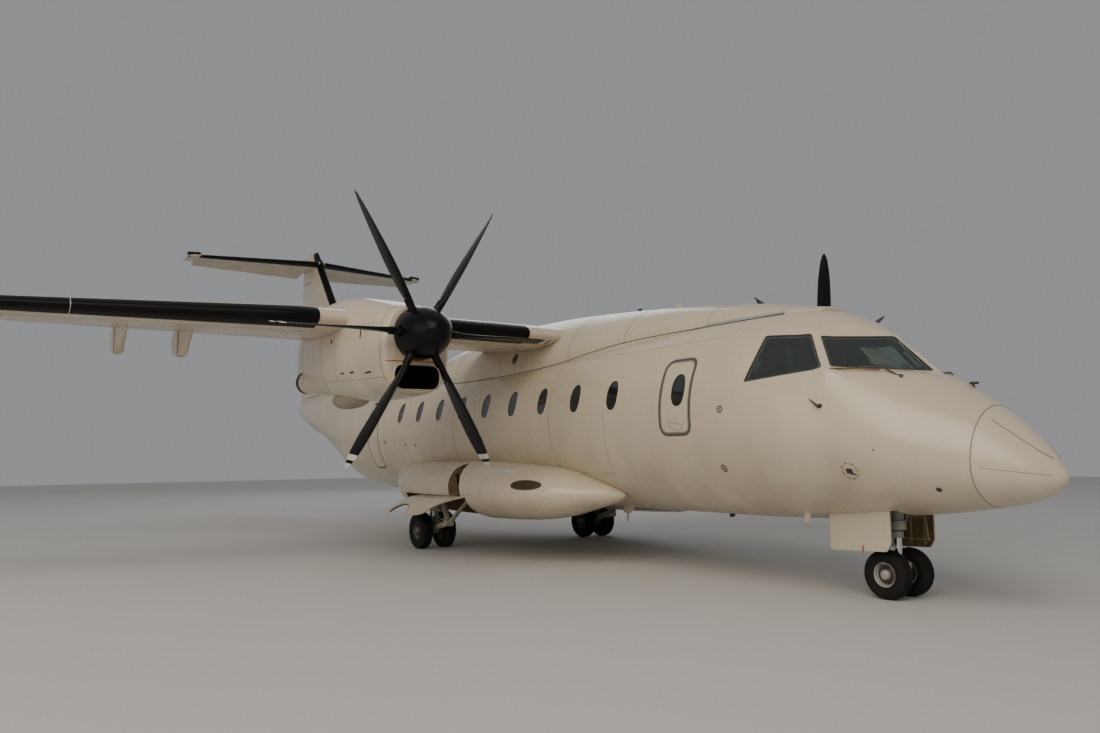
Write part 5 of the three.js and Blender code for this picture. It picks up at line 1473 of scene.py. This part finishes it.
# Propellers, built at the origin with the shaft along +X
screw = {"x": 5.166, "z": screwHeight, "radius": 1.8, "blades": 6, "tilt": 2.58, "feather": 83,
    "portTurn": 30, "band": (1.635, 1.705), "tip": 1.745}
spinnerCurve = curveThrough([(-0.48, 0.0), (-0.465, 0.08), (-0.385, 0.17), (-0.23, 0.255), (-0.05, 0.305),
    (0.14, 0.32)], 1, lambda x: sqrt(max(0.0, 0.48 + x)))
spinnerProfile = [(0, 0.48)] + [(spinnerCurve(x), -x) for x in [-0.48 + 0.616 * (i / 26) ** 2
    for i in range(1, 27)]]
spinnerSolid = turned(spinnerProfile + [(0.316, -0.14), (0, -0.14)], (0, 0, 0), (1, 0, 0), 72)
hub = rod((-0.139, 0, 0), (0.119, 0, 0), 0.1997, sides=48)
hubRoom = rod((-0.2, 0, 0), (0.12, 0, 0), 0.2, sides=48)
bladeRows = [(0.37, 0.11, 0.085), (0.62, 0.225, 0.05), (1.0, 0.285, 0.032), (1.35, 0.27, 0.021),
    (1.66, 0.185, 0.013), (1.8, 0.07, 0.008)]
bladeChord, bladeThick = curveThrough(bladeRows, 1), curveThrough(bladeRows, 2)


def bladeRing(out, count=14):
    pitch = radians(screw["feather"] + 25 * (0.75 - out / screw["radius"]))
    chord, thick = bladeChord(out), bladeThick(out)
    if out > 1.74:
        chord *= sqrt(max(0.02, 1 - ((out - 1.74) / 0.0605) ** 2)) * 0.6 + 0.4
    ring = []
    for i in range(2 * count):
        t = i / count if i <= count else 2 - i / count
        share = 0.5 * (1 - cos(pi * t))
        side = 1 if i <= count else -1
        along = (0.5 - share) * chord
        across = side * max(0.0006, halfThickness(share) * thick * 0.95)
        ring.append(Vector((along * sin(pitch) + across * cos(pitch), out,
            along * cos(pitch) - across * sin(pitch))))
    return ring


bladeStops = [0.37, 0.4, 0.45, 0.5, 0.56] + spread(0.62, 1.55, 0.08) + [1.6, 1.635, 1.67, 1.705, 1.725,
    1.745, 1.76, 1.775, 1.787, 1.795, 1.7995]
blade = merged(loft([bladeRing(out) for out in bladeStops]), rod((0, 0.15, 0), (0, 0.44, 0), 0.055, 0.046))
screwPieces, holes = [], []
for a in circle(screw["blades"]):
    spin = Matrix.Rotation(a, 4, "X")
    screwPieces.append(moved(copied(blade), spin))
    holes.append(moved(rod((0, 0.15, 0), (0, 0.5, 0), 0.067, sides=32), spin))
spinnerSolid = cut(spinnerSolid, hubRoom, *holes)


def bladeColour(p, normal):  # white on one face only
    out = hypot(p.y, p.z)
    marked = screw["band"][0] < out < screw["band"][1] or out > screw["tip"]
    return 1 if marked and normal.z * p.y - normal.y * p.z < 0 else 0


for side, y, start in (("right", -engineY, 0), ("left", engineY, screw["portTurn"])):
    place = (Matrix.Translation((screw["x"], y, screw["z"])) @ Matrix.Rotation(radians(screw["tilt"]), 4,
        "Y") @ Matrix.Rotation(radians(start), 4, "X"))
    back = place.inverted()

    def byRadius(centre, normal, back=back):
        return bladeColour(back @ centre, back.to_3x3() @ normal)
    blades = moved(merged(*screwPieces, hub), place)
    dress(blades, f"propellerBlades_{side}", [bladeBlack, bladeWhite], [f"propeller_{side}"],
        body=f"propeller_{side}", slot="propeller_black", choose=byRadius, angle=50)
    dress(moved(copied(spinnerSolid), place), f"spinnerShell_{side}", spinnerBlack, [f"spinner_{side}"],
        body=f"propeller_{side}", slot="propeller_black")
print("propellers made")

# Marks and small fittings on the skin
marks = {"seam": 0.006, "thin": 0.0045, "fine": 0.004, "proud": 0.0012, "low": 0.0009}
exitOutline = softened(oblong(6.6, 1.69, 7.1, 2.56), 0.13, 8)
dress(skinBand(exitOutline, starboardSkin, 0.036, marks["proud"]), "exitOutline", outlineGrey)
dark, thin, grey = [], [], []
dark.append(skinBand(widened(dense(exitOutline), -0.026), starboardSkin, marks["seam"], 0.0014))
serviceDoor = doors["service_door"]
serviceFrame = doorShape(serviceDoor, serviceDoor["z"][0] - 0.018, serviceDoor["z"][1] + 0.04, 0.018, 0.022)
dark.append(skinBand(serviceFrame, starboardSkin, 0.016, marks["proud"]))
thin.append(hoop(fuselage, hull["radomeSeam"], 0.008, marks["proud"]))
dress(hoop(fuselage, hull["noseEnd"], 0.0055, 0.0006), "noseJoint", paint)
for x in (4.25, 1.35, hull["tailStart"], -4.9, -7.1):
    low = -100 if x > 4 or x < -1 else -60  # the wing root hides more of the middle ones
    thin.append(hoop(fuselage, x, marks["thin"], marks["proud"], low, 180 - low))
for place, side in ((starboardSkin, -1), (portSkin, 1)):
    thin.append(skinLine([(5.489, 2.05), (5.515, 1.779), (5.475, 1.461), (5.435, 1.229), (4.245, 1.22)],
        place, marks["thin"], 0.001))
    thin.append(skinLine([(7.4, 2.78), (-4.8, 2.78)], place, 0.003, 0.0008, step=0.15))
    thin.append(skinBand(softened(oblong(-0.66, 2.06, -0.23, 2.14), 0.02), place, 0.004, 0.001))
dress(merged(*thin), "panelSeams", panelSeam)
for path in (((10.054, 1.754), (10.2, 1.634), (10.338, 1.516), (10.466, 1.402)),
        ((10.042, 1.324), (10.491, 1.254))):
    for place in (starboardSkin, portSkin):  # conducting strips on the radome
        grey.append(skinLine(path, place, 0.0045, 0.0012, step=0.02))
dress(merged(*grey), "radomeStrips", panelSeam)
handleShape = softened([(6.745, 1.845), (6.985, 1.795), (6.965, 1.755), (6.91, 1.735), (6.8, 1.755),
    (6.755, 1.79)], 0.012)
dress(skinBand(handleShape, starboardSkin, 0.007, 0.0012), "exitHandle", panelSeam)


def disc(place, x, z, radius, lift, depth=0.002):
    return skinPatch(oval(x, z, 2 * radius, 2 * radius, count=24), place, lift, depth, 2)


sidePorts = ((7.563, 1.946, 0.033), (7.449, 1.308, 0.033), (-1.537, 1.75, 0.03), (-0.602, 1.687, 0.022),
    (-0.173, 1.672, 0.022), (9.24, 1.489, 0.007))
for place, side in ((starboardSkin, -1), (portSkin, 1)):
    for x, z, r in sidePorts:
        dark.append(skinBand(oval(x, z, 2 * r, 2 * r, count=24), place, r * 0.42, 0.003))
        dark.append(disc(place, x, z, r * 0.35, 0.0018))
    ringAt = (8.975, 1.291)
    for i in range(8):  # a broken ring round the static plate
        a = radians(45 * i)
        arc = [(ringAt[0] + 0.075 * cos(a + radians(t)), ringAt[1] + 0.075 * sin(a + radians(t)))
            for t in range(0, 31, 5)]
        dark.append(skinLine(arc, place, 0.006, 0.0014))
    dark.append(skinPatch(oblong(8.94, 1.268, 9.0, 1.313), place, 0.0022, 0.002, 2))
    root = place(8.985, 1.27)
    dark.append(tube([root, root + Vector((0.02, side * 0.05, 0)),
        root + Vector((0.09, side * 0.06, -0.012))], 0.008))
    root = place(8.745, 1.925)  # air data vane, with a round foot and a tapered arm
    dark.append(disc(place, 8.745, 1.925, 0.024, 0.004))
    dark.append(rod(root, root + Vector((0, side * 0.045, 0)), 0.012, 0.009))
    dark.append(rod(root + Vector((0.02, side * 0.042, -0.012)), root + Vector((-0.1, side * 0.035, 0.075)),
        0.014, 0.004))
    root = place(9.692, 1.123)
    dark.append(disc(place, 9.692, 1.123, 0.02, 0.003))
    dark.append(rod(root, root + Vector((0.05, side * 0.03, 0.004)), 0.009, 0.006))
dress(merged(*dark), "skinFittings", seamDark, slot="engine_metal")

# Wiper below each windshield, and the probe on top of the nose
for side, flip in (("right", 1), ("left", -1)):
    rubber = [(8.775, -0.858 * flip, 2.3), (8.98, -0.715 * flip, 2.287), (9.15, -0.585 * flip, 2.268)]
    arm = tube(smoothPath([(9.0, -0.7 * flip, 2.3), (9.16, -0.585 * flip, 2.29),
        (9.225, -0.535 * flip, 2.25), (9.3, -0.48 * flip, 2.19)]), 0.0095)
    foot = rod((9.3, -0.48 * flip, 2.15), (9.31, -0.485 * flip, 2.215), 0.022)
    dress(tube(smoothPath(rubber), 0.0085), f"wiperBlade_{side}", bayPaint, slot="tyre_rubber")
    dress(merged(arm, foot), f"wiperArm_{side}", ventGrey, slot="engine_metal")
topProbe = merged(rod((9.673, 0.126, 2.05), (9.673, 0.126, 2.125), 0.012),
    rod((9.64, 0.126, 2.128), (9.725, 0.126, 2.124), 0.012), rod((9.673, 0.126, 2.06),
    (9.673, 0.126, 2.095), 0.03, 0.018))
dress(topProbe, "noseProbe", seamDark, slot="engine_metal")


def bladeAerial(x, y, z, long, tall, up=1, thick=0.016):  # a raked blade antenna
    rings = []
    for share in (0.0, 0.5, 0.9, 1.0):
        chord = long * (1 - 0.35 * share) * (0.8 if share == 1.0 else 1)
        lead = x + long / 2 - long * 0.4 * share
        rings.append([(lead - chord * 0.5 * (1 - cos(t)), y + thick * (1 - 0.5 * share) * sin(t) / 2,
            z + up * tall * share) for t in circle(20)])
    return loft(rings)


aerials = [bladeAerial(-2.6, 0, 3.13, 0.3, 0.26), bladeAerial(-3.9, 0, 3.13, 0.2, 0.15),
    bladeAerial(4.698, -0.15, 0.75, 0.24, 0.1, -1, 0.05), bladeAerial(4.66, -0.15, 0.66, 0.05, 0.14, -1),
    bladeAerial(8.055, -0.406, 0.84, 0.1, 0.11, -1, 0.03), bladeAerial(-0.4, 0, 0.745, 0.26, 0.18, -1),
    bladeAerial(5.67, 0, 3.42, 0.16, 0.065)]
dress(merged(*aerials), "bladeAerials", paint)
darkAerials = [rod((7.2, 0, 3.24), (7.02, 0, 3.365), 0.019, 0.009), bladeAerial(4.85, 0, 3.49, 0.12, 0.06),
    bladeAerial(6.55, 0, 0.735, 0.12, 0.05, -1)]
dress(merged(*darkAerials), "darkAerials", seamDark)
print("fittings made")

# Wing panel lines, and the static wicks
def wingPlace(side):
    def place(span, x, lift=0.0):
        lead, chord, _ = wingAt(abs(span))
        return onWing(span, max(0.001, (lead - x) / chord), side, lift)
    return place


wingLines = []
for side in (1, -1):
    place = wingPlace(side)
    for path in ([(-1.0, 3.45), (-4.6, 3.45), (-7.7, 2.79), (-10.1, 2.37)],
            [(-1.0, 2.34), (-4.6, 2.34), (-6.62, 2.17), (-10.1, 1.98)]):
        wingLines.append(skinLine(path, place, marks["fine"], marks["low"], step=0.2))
    for span, front, rear in ((-1.5, 3.45, 2.34), (-3.05, 3.45, 2.34), (-4.6, 3.6, 2.34), (-6.2, 3.1, 2.2),
            (-7.7, 2.79, 2.12), (-9.0, 2.58, 2.05), (-10.12, 2.4, 1.98)):
        wingLines.append(skinLine([(span, front), (span, rear)], place, marks["fine"], marks["low"],
            step=0.1))
dressPair(merged(*wingLines), "wingSeams", panelSeam)
wickSize = {"radius": 0.004, "tip": 0.002, "sides": 8, "root": 0.01}


def trailingWick(lead, chord, out, z, reach, drop):
    trail = lead - chord
    return rod((trail + wickSize["root"], -out, z), (trail - reach, -out, z - drop), wickSize["radius"],
        wickSize["tip"], wickSize["sides"])


wicks = [trailingWick(*wingAt(out)[:2], out, wing["z"], 0.13, 0.01) for out in (7.4, 8.2, 9.0, 9.7)]
dressPair(merged(*wicks), "wingWicks", hoseBlack, body="aileron", slot="tyre_rubber")
tailWicks = [trailingWick(*tailAt(out)[:2], out, tail["z"], 0.02, 0) for out in (1.6, 2.3, 2.9)]
dressPair(moved(merged(*tailWicks), droop), "tailWicks", hoseBlack, body="elevator", slot="tyre_rubber")

# Nacelle: line over the intake, vents, seams, scoop and the exhaust's rim
def cowlSide(x, z, lift=0.0):
    return cowl.onSide(x, z, -1, lift)


cheek = cowlSide(4.97, 2.58).y
frontLine = [(x, cowlSide(x, 2.575).y - 0.001, 2.575) for x in spread(4.89, 4.97, 0.02)]
frontLine += [(4.992, cowlSide(4.97, 2.575).y + 0.012, 2.576), (5.0, cheek + 0.05, 2.58),
    (5.002, -3.56, 2.585), (5.0, -2 * engineY - cheek - 0.05, 2.58)]
dressPair(tube(frontLine, 0.0075, 8), "cowlLine", orangeLine)
# the vents are near-black patches on the cowl: painted shade for their openings
vents = []
for x, z, wide, high in ((3.79, 2.6, 0.11, 0.02), (4.11, 2.585, 0.13, 0.022), (4.58, 2.543, 0.17, 0.022),
        (3.29, 3.02, 0.025, 0.08), (4.42, 2.905, 0.03, 0.1), (3.43, 2.904, 0.05, 0.03)):
    outline = oblong(x - wide / 2, z - high / 2, x + wide / 2, z + high / 2)
    vents.append(skinPatch(softened(outline, 0.008), cowlSide, 0.0014, 0.002, 2))
dressPair(merged(*vents), "cowlVents", shadeBlack, slot="engine_metal")
cowlLines = [skinLine([(3.1, 2.53), (4.9, 2.446), (4.96, 2.44)], cowlSide, 0.005, 0.001),
    hoop(cowl, 4.9, 0.005, 0.001), hoop(cowl, 3.0, 0.005, 0.001),
    skinLine([(3.0, 3.05), (4.9, 2.98)], cowlSide, 0.004, 0.001),
    skinLine([(3.55, 2.53), (3.55, 3.02)], cowlSide, 0.004, 0.001), hoop(cowl, 2.0, 0.004, 0.001)]
dressPair(merged(*cowlLines), "cowlSeams", panelSeam)
scoop = {"from": 2.68, "to": 3.76, "y": -3.68, "z": 2.235, "half": 0.17, "deep": 0.125}
scoopRings = []
for x in spread(scoop["from"], scoop["to"], 0.06):
    t = (x - scoop["from"]) / (scoop["to"] - scoop["from"])
    size = sqrt(max(0.004, 1 - (2 * t ** 0.8 - 1) ** 2))
    scoopRings.append([(x, scoop["y"] + scoop["half"] * size * cos(a),
        scoop["z"] + scoop["deep"] * size * sin(a)) for a in circle(32)])
dressPair(loft(scoopRings), "bellyScoop", scoopPaint)
rimRing = turned([(0.1505, -0.055), (0.1605, -0.05), (0.162, 0.012), (0.152, 0.018), (0.131, 0.018),
    (0.1305, -0.055)], exhaust["to"], away, 48)
dressPair(rimRing, "exhaustRim", exhaustMetal, slot="engine_metal")

# Sponson recess and seams, wing tip lamps and belly beacon
def sponsonSide(x, z, lift=0.0):
    y, middle, wide, high = [c(x) for c in sponsonCurves]
    a = pi - asin(max(-1.0, min(1.0, (z - middle) / high)))
    return onSponson(x, a, lift)


# the recess is a dark patch on the skin: painted shade
recess = oval(4.41, 1.075, 0.46, 0.125, 2.2)
dressPair(skinPatch(recess, sponsonSide, 0.0012, 0.003), "sponsonRecess", recessShade, slot="engine_metal")
dressPair(skinBand(recess, sponsonSide, 0.01, 0.003), "sponsonRecessRim", outlineGrey)
sponsonLines = [skinLine([(3.52, 1.22), (3.51, 1.08), (3.5, 0.9), (3.45, 0.72)], sponsonSide, 0.005, 0.001),
    skinLine([(1.0, 0.9), (3.5, 0.9)], sponsonSide, 0.003, 0.0008)]
dressPair(merged(*sponsonLines), "sponsonSeams", panelSeam)
dressPair(rod((2.47, -10.4, 3.225), (2.36, -10.44, 3.225), 0.02, 0.012, edge=0.006), "wingTipLamp",
    mirrorLight, slot="cockpit_glass")
bellyBeacon = turned([(0, 0.07), (0.025, 0.065), (0.04, 0.045), (0.045, 0.0), (0.045, -0.02), (0, -0.02)],
    (1.0, 0, 0.735), (0, 0, -1), 24)
dress(bellyBeacon, "bellyBeacon", signalRed, slot="cockpit_glass")

# Fairing seam along the roof, with its strip and air inlet
def roofSide(side):
    def place(x, z, lift=0.0):  # on the hull or on the fairing, whichever is further out
        p, (top, _, bottom, _) = onSkin(x, z, side, lift), roofFairing.read(x)
        if not bottom < z < top:
            return p
        q = roofFairing.onSide(x, z, side, lift)
        return q if abs(q.y) > abs(p.y) else p
    return place


fairingSeam = [(7.872, 3.011), (7.395, 2.992), (6.77, 2.989), (5.983, 2.971), (5.367, 2.94), (4.666, 2.865),
    (4.048, 2.785), (3.304, 2.737), (2.44, 2.714), (1.066, 2.72), (0.2, 2.78), (-0.7, 2.95)]
seamCurve = curveThrough(fairingSeam, 1)
fairingHoops = ((6.8, 4, 176), (5.4, 8, 172), (4.25, 4, 176), (2.44, 1, 22), (2.44, 158, 179), (0.9, 1, 80),
    (0.9, 100, 179))
roofSeams = [skinLine([(x, seamCurve(x)) for x in spread(7.87, -0.7, 0.12)], roofSide(side), 0.011, 0.0016)
    for side in (-1, 1)]
dress(merged(*roofSeams), "fairingSeam", seamDark)
panels = [hoop(roofFairing, x, 0.006, 0.0012, low, high) for x, low, high in fairingHoops]
dress(merged(*panels), "fairingPanels", panelSeam)
strips = [skinLine([(x, seamCurve(x) + 0.022) for x in spread(7.87, 6.78, 0.1)], roofSide(side), 0.03,
    0.002) for side in (-1, 1)]
dress(merged(*strips), "fairingStrip", blueGrey)
# the inlet is a dark patch on the skin: painted shade for its opening
inletShape = oval(2.85, 2.97, 0.13, 0.15)
dressPair(skinPatch(inletShape, roofSide(-1), 0.002, 0.003, 3), "fairingInlet", recessShade,
    slot="engine_metal")
dressPair(skinBand(inletShape, roofSide(-1), 0.018, 0.006), "fairingInletRim", panelSeam)
print("marks made")

# Rivets: points with their outward direction, spaced and headed by a node tree
rivetSize = {"radius": 0.0036, "height": 0.0011, "spacing": 0.045}


def rivetTree():
    tree, given, result = newGroup("GeometryNodeTree", "rivetRows",
        {"Rows": "NodeSocketGeometry", "Spacing": rivetSize["spacing"], "Head radius": rivetSize["radius"],
        "Head height": rivetSize["height"], "Material": "NodeSocketMaterial"},
        {"Rivets": "NodeSocketGeometry"})
    curve = addNode(tree, "GeometryNodeMeshToCurve", {"Mesh": given["Rows"]}).outputs[0]
    spaced = addNode(tree, "GeometryNodeResampleCurve", {"Curve": curve, "Length": given["Spacing"]},
        mode="LENGTH").outputs[0]
    outward = addNode(tree, "GeometryNodeInputNamedAttribute", {"Name": "outward"},
        data_type="FLOAT_VECTOR").outputs[0]
    facing = addNode(tree, "FunctionNodeAlignRotationToVector", {"Vector": outward}, axis="Z").outputs[0]
    head = addNode(tree, "GeometryNodeMeshCone", {"Vertices": 7,
        "Radius Top": maths(tree, "MULTIPLY", given["Head radius"], 0.6),
        "Radius Bottom": given["Head radius"], "Depth": given["Head height"]}, fill_type="NGON").outputs[0]
    placed = addNode(tree, "GeometryNodeInstanceOnPoints", {"Points": spaced, "Instance": head,
        "Rotation": facing}).outputs[0]
    real = addNode(tree, "GeometryNodeRealizeInstances", {0: placed}).outputs[0]
    coloured = addNode(tree, "GeometryNodeSetMaterial", {"Geometry": real,
        "Material": given["Material"]}).outputs[0]
    tree.links.new(coloured, result[0])
    return tree


rivets = rivetTree()


def rivetRows(name, rows, material, **sizes):  # rows are lists of (point, outward direction)
    points, edges, ways = [], [], []
    for row in rows:
        start = len(points)
        points += [p + n * 0.0002 for p, n in row]
        ways += [n for _, n in row]
        edges += [(start + i, start + i + 1) for i in range(len(row) - 1)]
    mesh = bpy.data.meshes.new(name)
    mesh.from_pydata([tuple(p) for p in points], edges, [])
    outward = mesh.attributes.new("outward", "FLOAT_VECTOR", "POINT")
    for i, way in enumerate(ways):
        outward.data[i].vector = way
    rowsPiece = inWorkshop(mesh)
    modifier = rowsPiece.modifiers.new("rivets", "NODES")
    modifier.node_group = rivets
    for item in rivets.interface.items_tree:
        if item.in_out == "INPUT" and item.name == "Material":
            modifier[item.identifier] = material
        elif item.in_out == "INPUT" and item.name in sizes:
            modifier[item.identifier] = sizes[item.name]
    settled(rowsPiece)
    show(name, rowsPiece.data, "airframe")


def bodyRow(place, path, step=0.05):
    path = dense(path, step, closed=False)
    row = []
    for p in path:
        base = place(p.x, p.y, 0.0)
        row.append((base, (place(p.x, p.y, 0.01) - base).normalized()))
    return row


def hoopRow(body, x, start, end):
    angles = [radians(a) for a in spread(start, end, 2.5)]
    return [(body.at(x, a), (body.at(x, a, 0.01) - body.at(x, a)).normalized()) for a in angles]


skinRows = []
for x in (hull["noseEnd"] - 0.02, hull["noseEnd"] + 0.02, 4.27, 1.37, hull["tailStart"] + 0.02,
        hull["tailStart"] - 0.02, -4.92, -7.12):
    low = -75 if abs(x - 1.37) > 2 else -20
    skinRows.append(hoopRow(fuselage, x, low, 180 - low))
skinRows.append(hoopRow(fuselage, hull["radomeSeam"] - 0.018, 0, 360))
for place in (starboardSkin, portSkin):
    skinRows.append(bodyRow(place, [(7.4, 2.795), (-4.8, 2.795)]))
exitRow = widened(dense(exitOutline), 0.032)
skinRows.append(bodyRow(starboardSkin, exitRow + exitRow[:1]))
rivetRows("skinRivets", skinRows, paint)
fairingRows = []
for side in (-1, 1):
    for up in (0.035, 0.075):
        fairingRows.append(bodyRow(roofSide(side), [(x, seamCurve(x) + up)
            for x in spread(7.6, -0.4, 0.2)]))
fairingRows += [hoopRow(roofFairing, x + d, max(low, 6), min(high, 174))
    for x, low, high in fairingHoops[:3] for d in (-0.03, 0.03)]
rivetRows("fairingRivets", fairingRows, panelSeam, **{"Spacing": 0.11, "Head radius": 0.006,
    "Head height": 0.0015})
for side, flip in (("right", 1), ("left", -1)):
    rows = []
    for lineSide in (1, -1):
        place = wingPlace(lineSide)
        for path in ([(-1.0, 3.43), (-4.6, 3.43), (-7.7, 2.77), (-10.1, 2.35)],
                [(-1.0, 2.36), (-4.6, 2.36), (-6.62, 2.19), (-10.1, 2.0)], [(-3.07, 3.43), (-3.07, 2.36)],
                [(-4.62, 3.5), (-4.62, 2.36)], [(-6.22, 3.05), (-6.22, 2.22)],
                [(-7.72, 2.77), (-7.72, 2.13)], [(-9.02, 2.56), (-9.02, 2.06)]):
            rows.append(bodyRow(place, path, 0.15))
    rows += [bodyRow(cowlSide, path) for path in ([(3.02, 3.07), (4.88, 3.0)],
        [(3.02, 2.55), (4.88, 2.466)])]
    rows += [hoopRow(cowl, x, 0, 360) for x in (4.88, 3.02)]
    if side == "left":
        rows = [[(Vector((p.x, -p.y, p.z)), Vector((n.x, -n.y, n.z))) for p, n in row] for row in rows]
    rivetRows(f"wingRivets_{side}", rows, paint)
print("rivets made")

# Floor and lights
stage = {"floor": 90.0, "key": 2700.0, "fill": 520.0, "rim": 620.0, "sky": 0.37}
floorMesh = bpy.data.meshes.new("floor")
half = stage["floor"] / 2
floorMesh.from_pydata([(-half, -half, 0), (half, -half, 0), (half, half, 0), (-half, half, 0)], [],
    [(0, 1, 2, 3)])
floor = bpy.data.objects.new("floor", floorMesh)
scene.collection.objects.link(floor)
floorMaterial = bpy.data.materials.new("paleFloor")
floorMaterial.use_nodes = True
floorShader = floorMaterial.node_tree.nodes["Principled BSDF"]
floorShader.inputs["Base Color"].default_value = (0.62, 0.61, 0.59, 1)
floorShader.inputs["Roughness"].default_value = 0.8
floorMesh.materials.append(floorMaterial)
world = scene.world or bpy.data.worlds.new("world")
scene.world = world
world.use_nodes = True
world.node_tree.nodes["Background"].inputs[0].default_value = (0.80, 0.81, 0.83, 1)
world.node_tree.nodes["Background"].inputs[1].default_value = stage["sky"]
for name, place, target, size, power, colour in (("keyLight", (17, -15, 15), (2, 0, 2), 17, stage["key"],
        (1.0, 0.92, 0.80)), ("fillLight", (4, -24, 7), (0, 0, 2), 14, stage["fill"], (1.0, 0.93, 0.85)),
        ("rimLight", (-16, 10, 14), (0, 0, 3), 12, stage["rim"], (0.88, 0.93, 1.0))):
    lamp = bpy.data.lights.new(name, "AREA")
    lamp.size, lamp.energy, lamp.color = size, power, colour
    light = bpy.data.objects.new(name, lamp)
    light.location = place
    light.rotation_mode = "QUATERNION"
    light.rotation_quaternion = (Vector(place) - Vector(target)).to_track_quat("Z", "Y")
    scene.collection.objects.link(light)

for spare in list(workshop.objects):
    bpy.data.objects.remove(spare)
bpy.data.collections.remove(workshop)
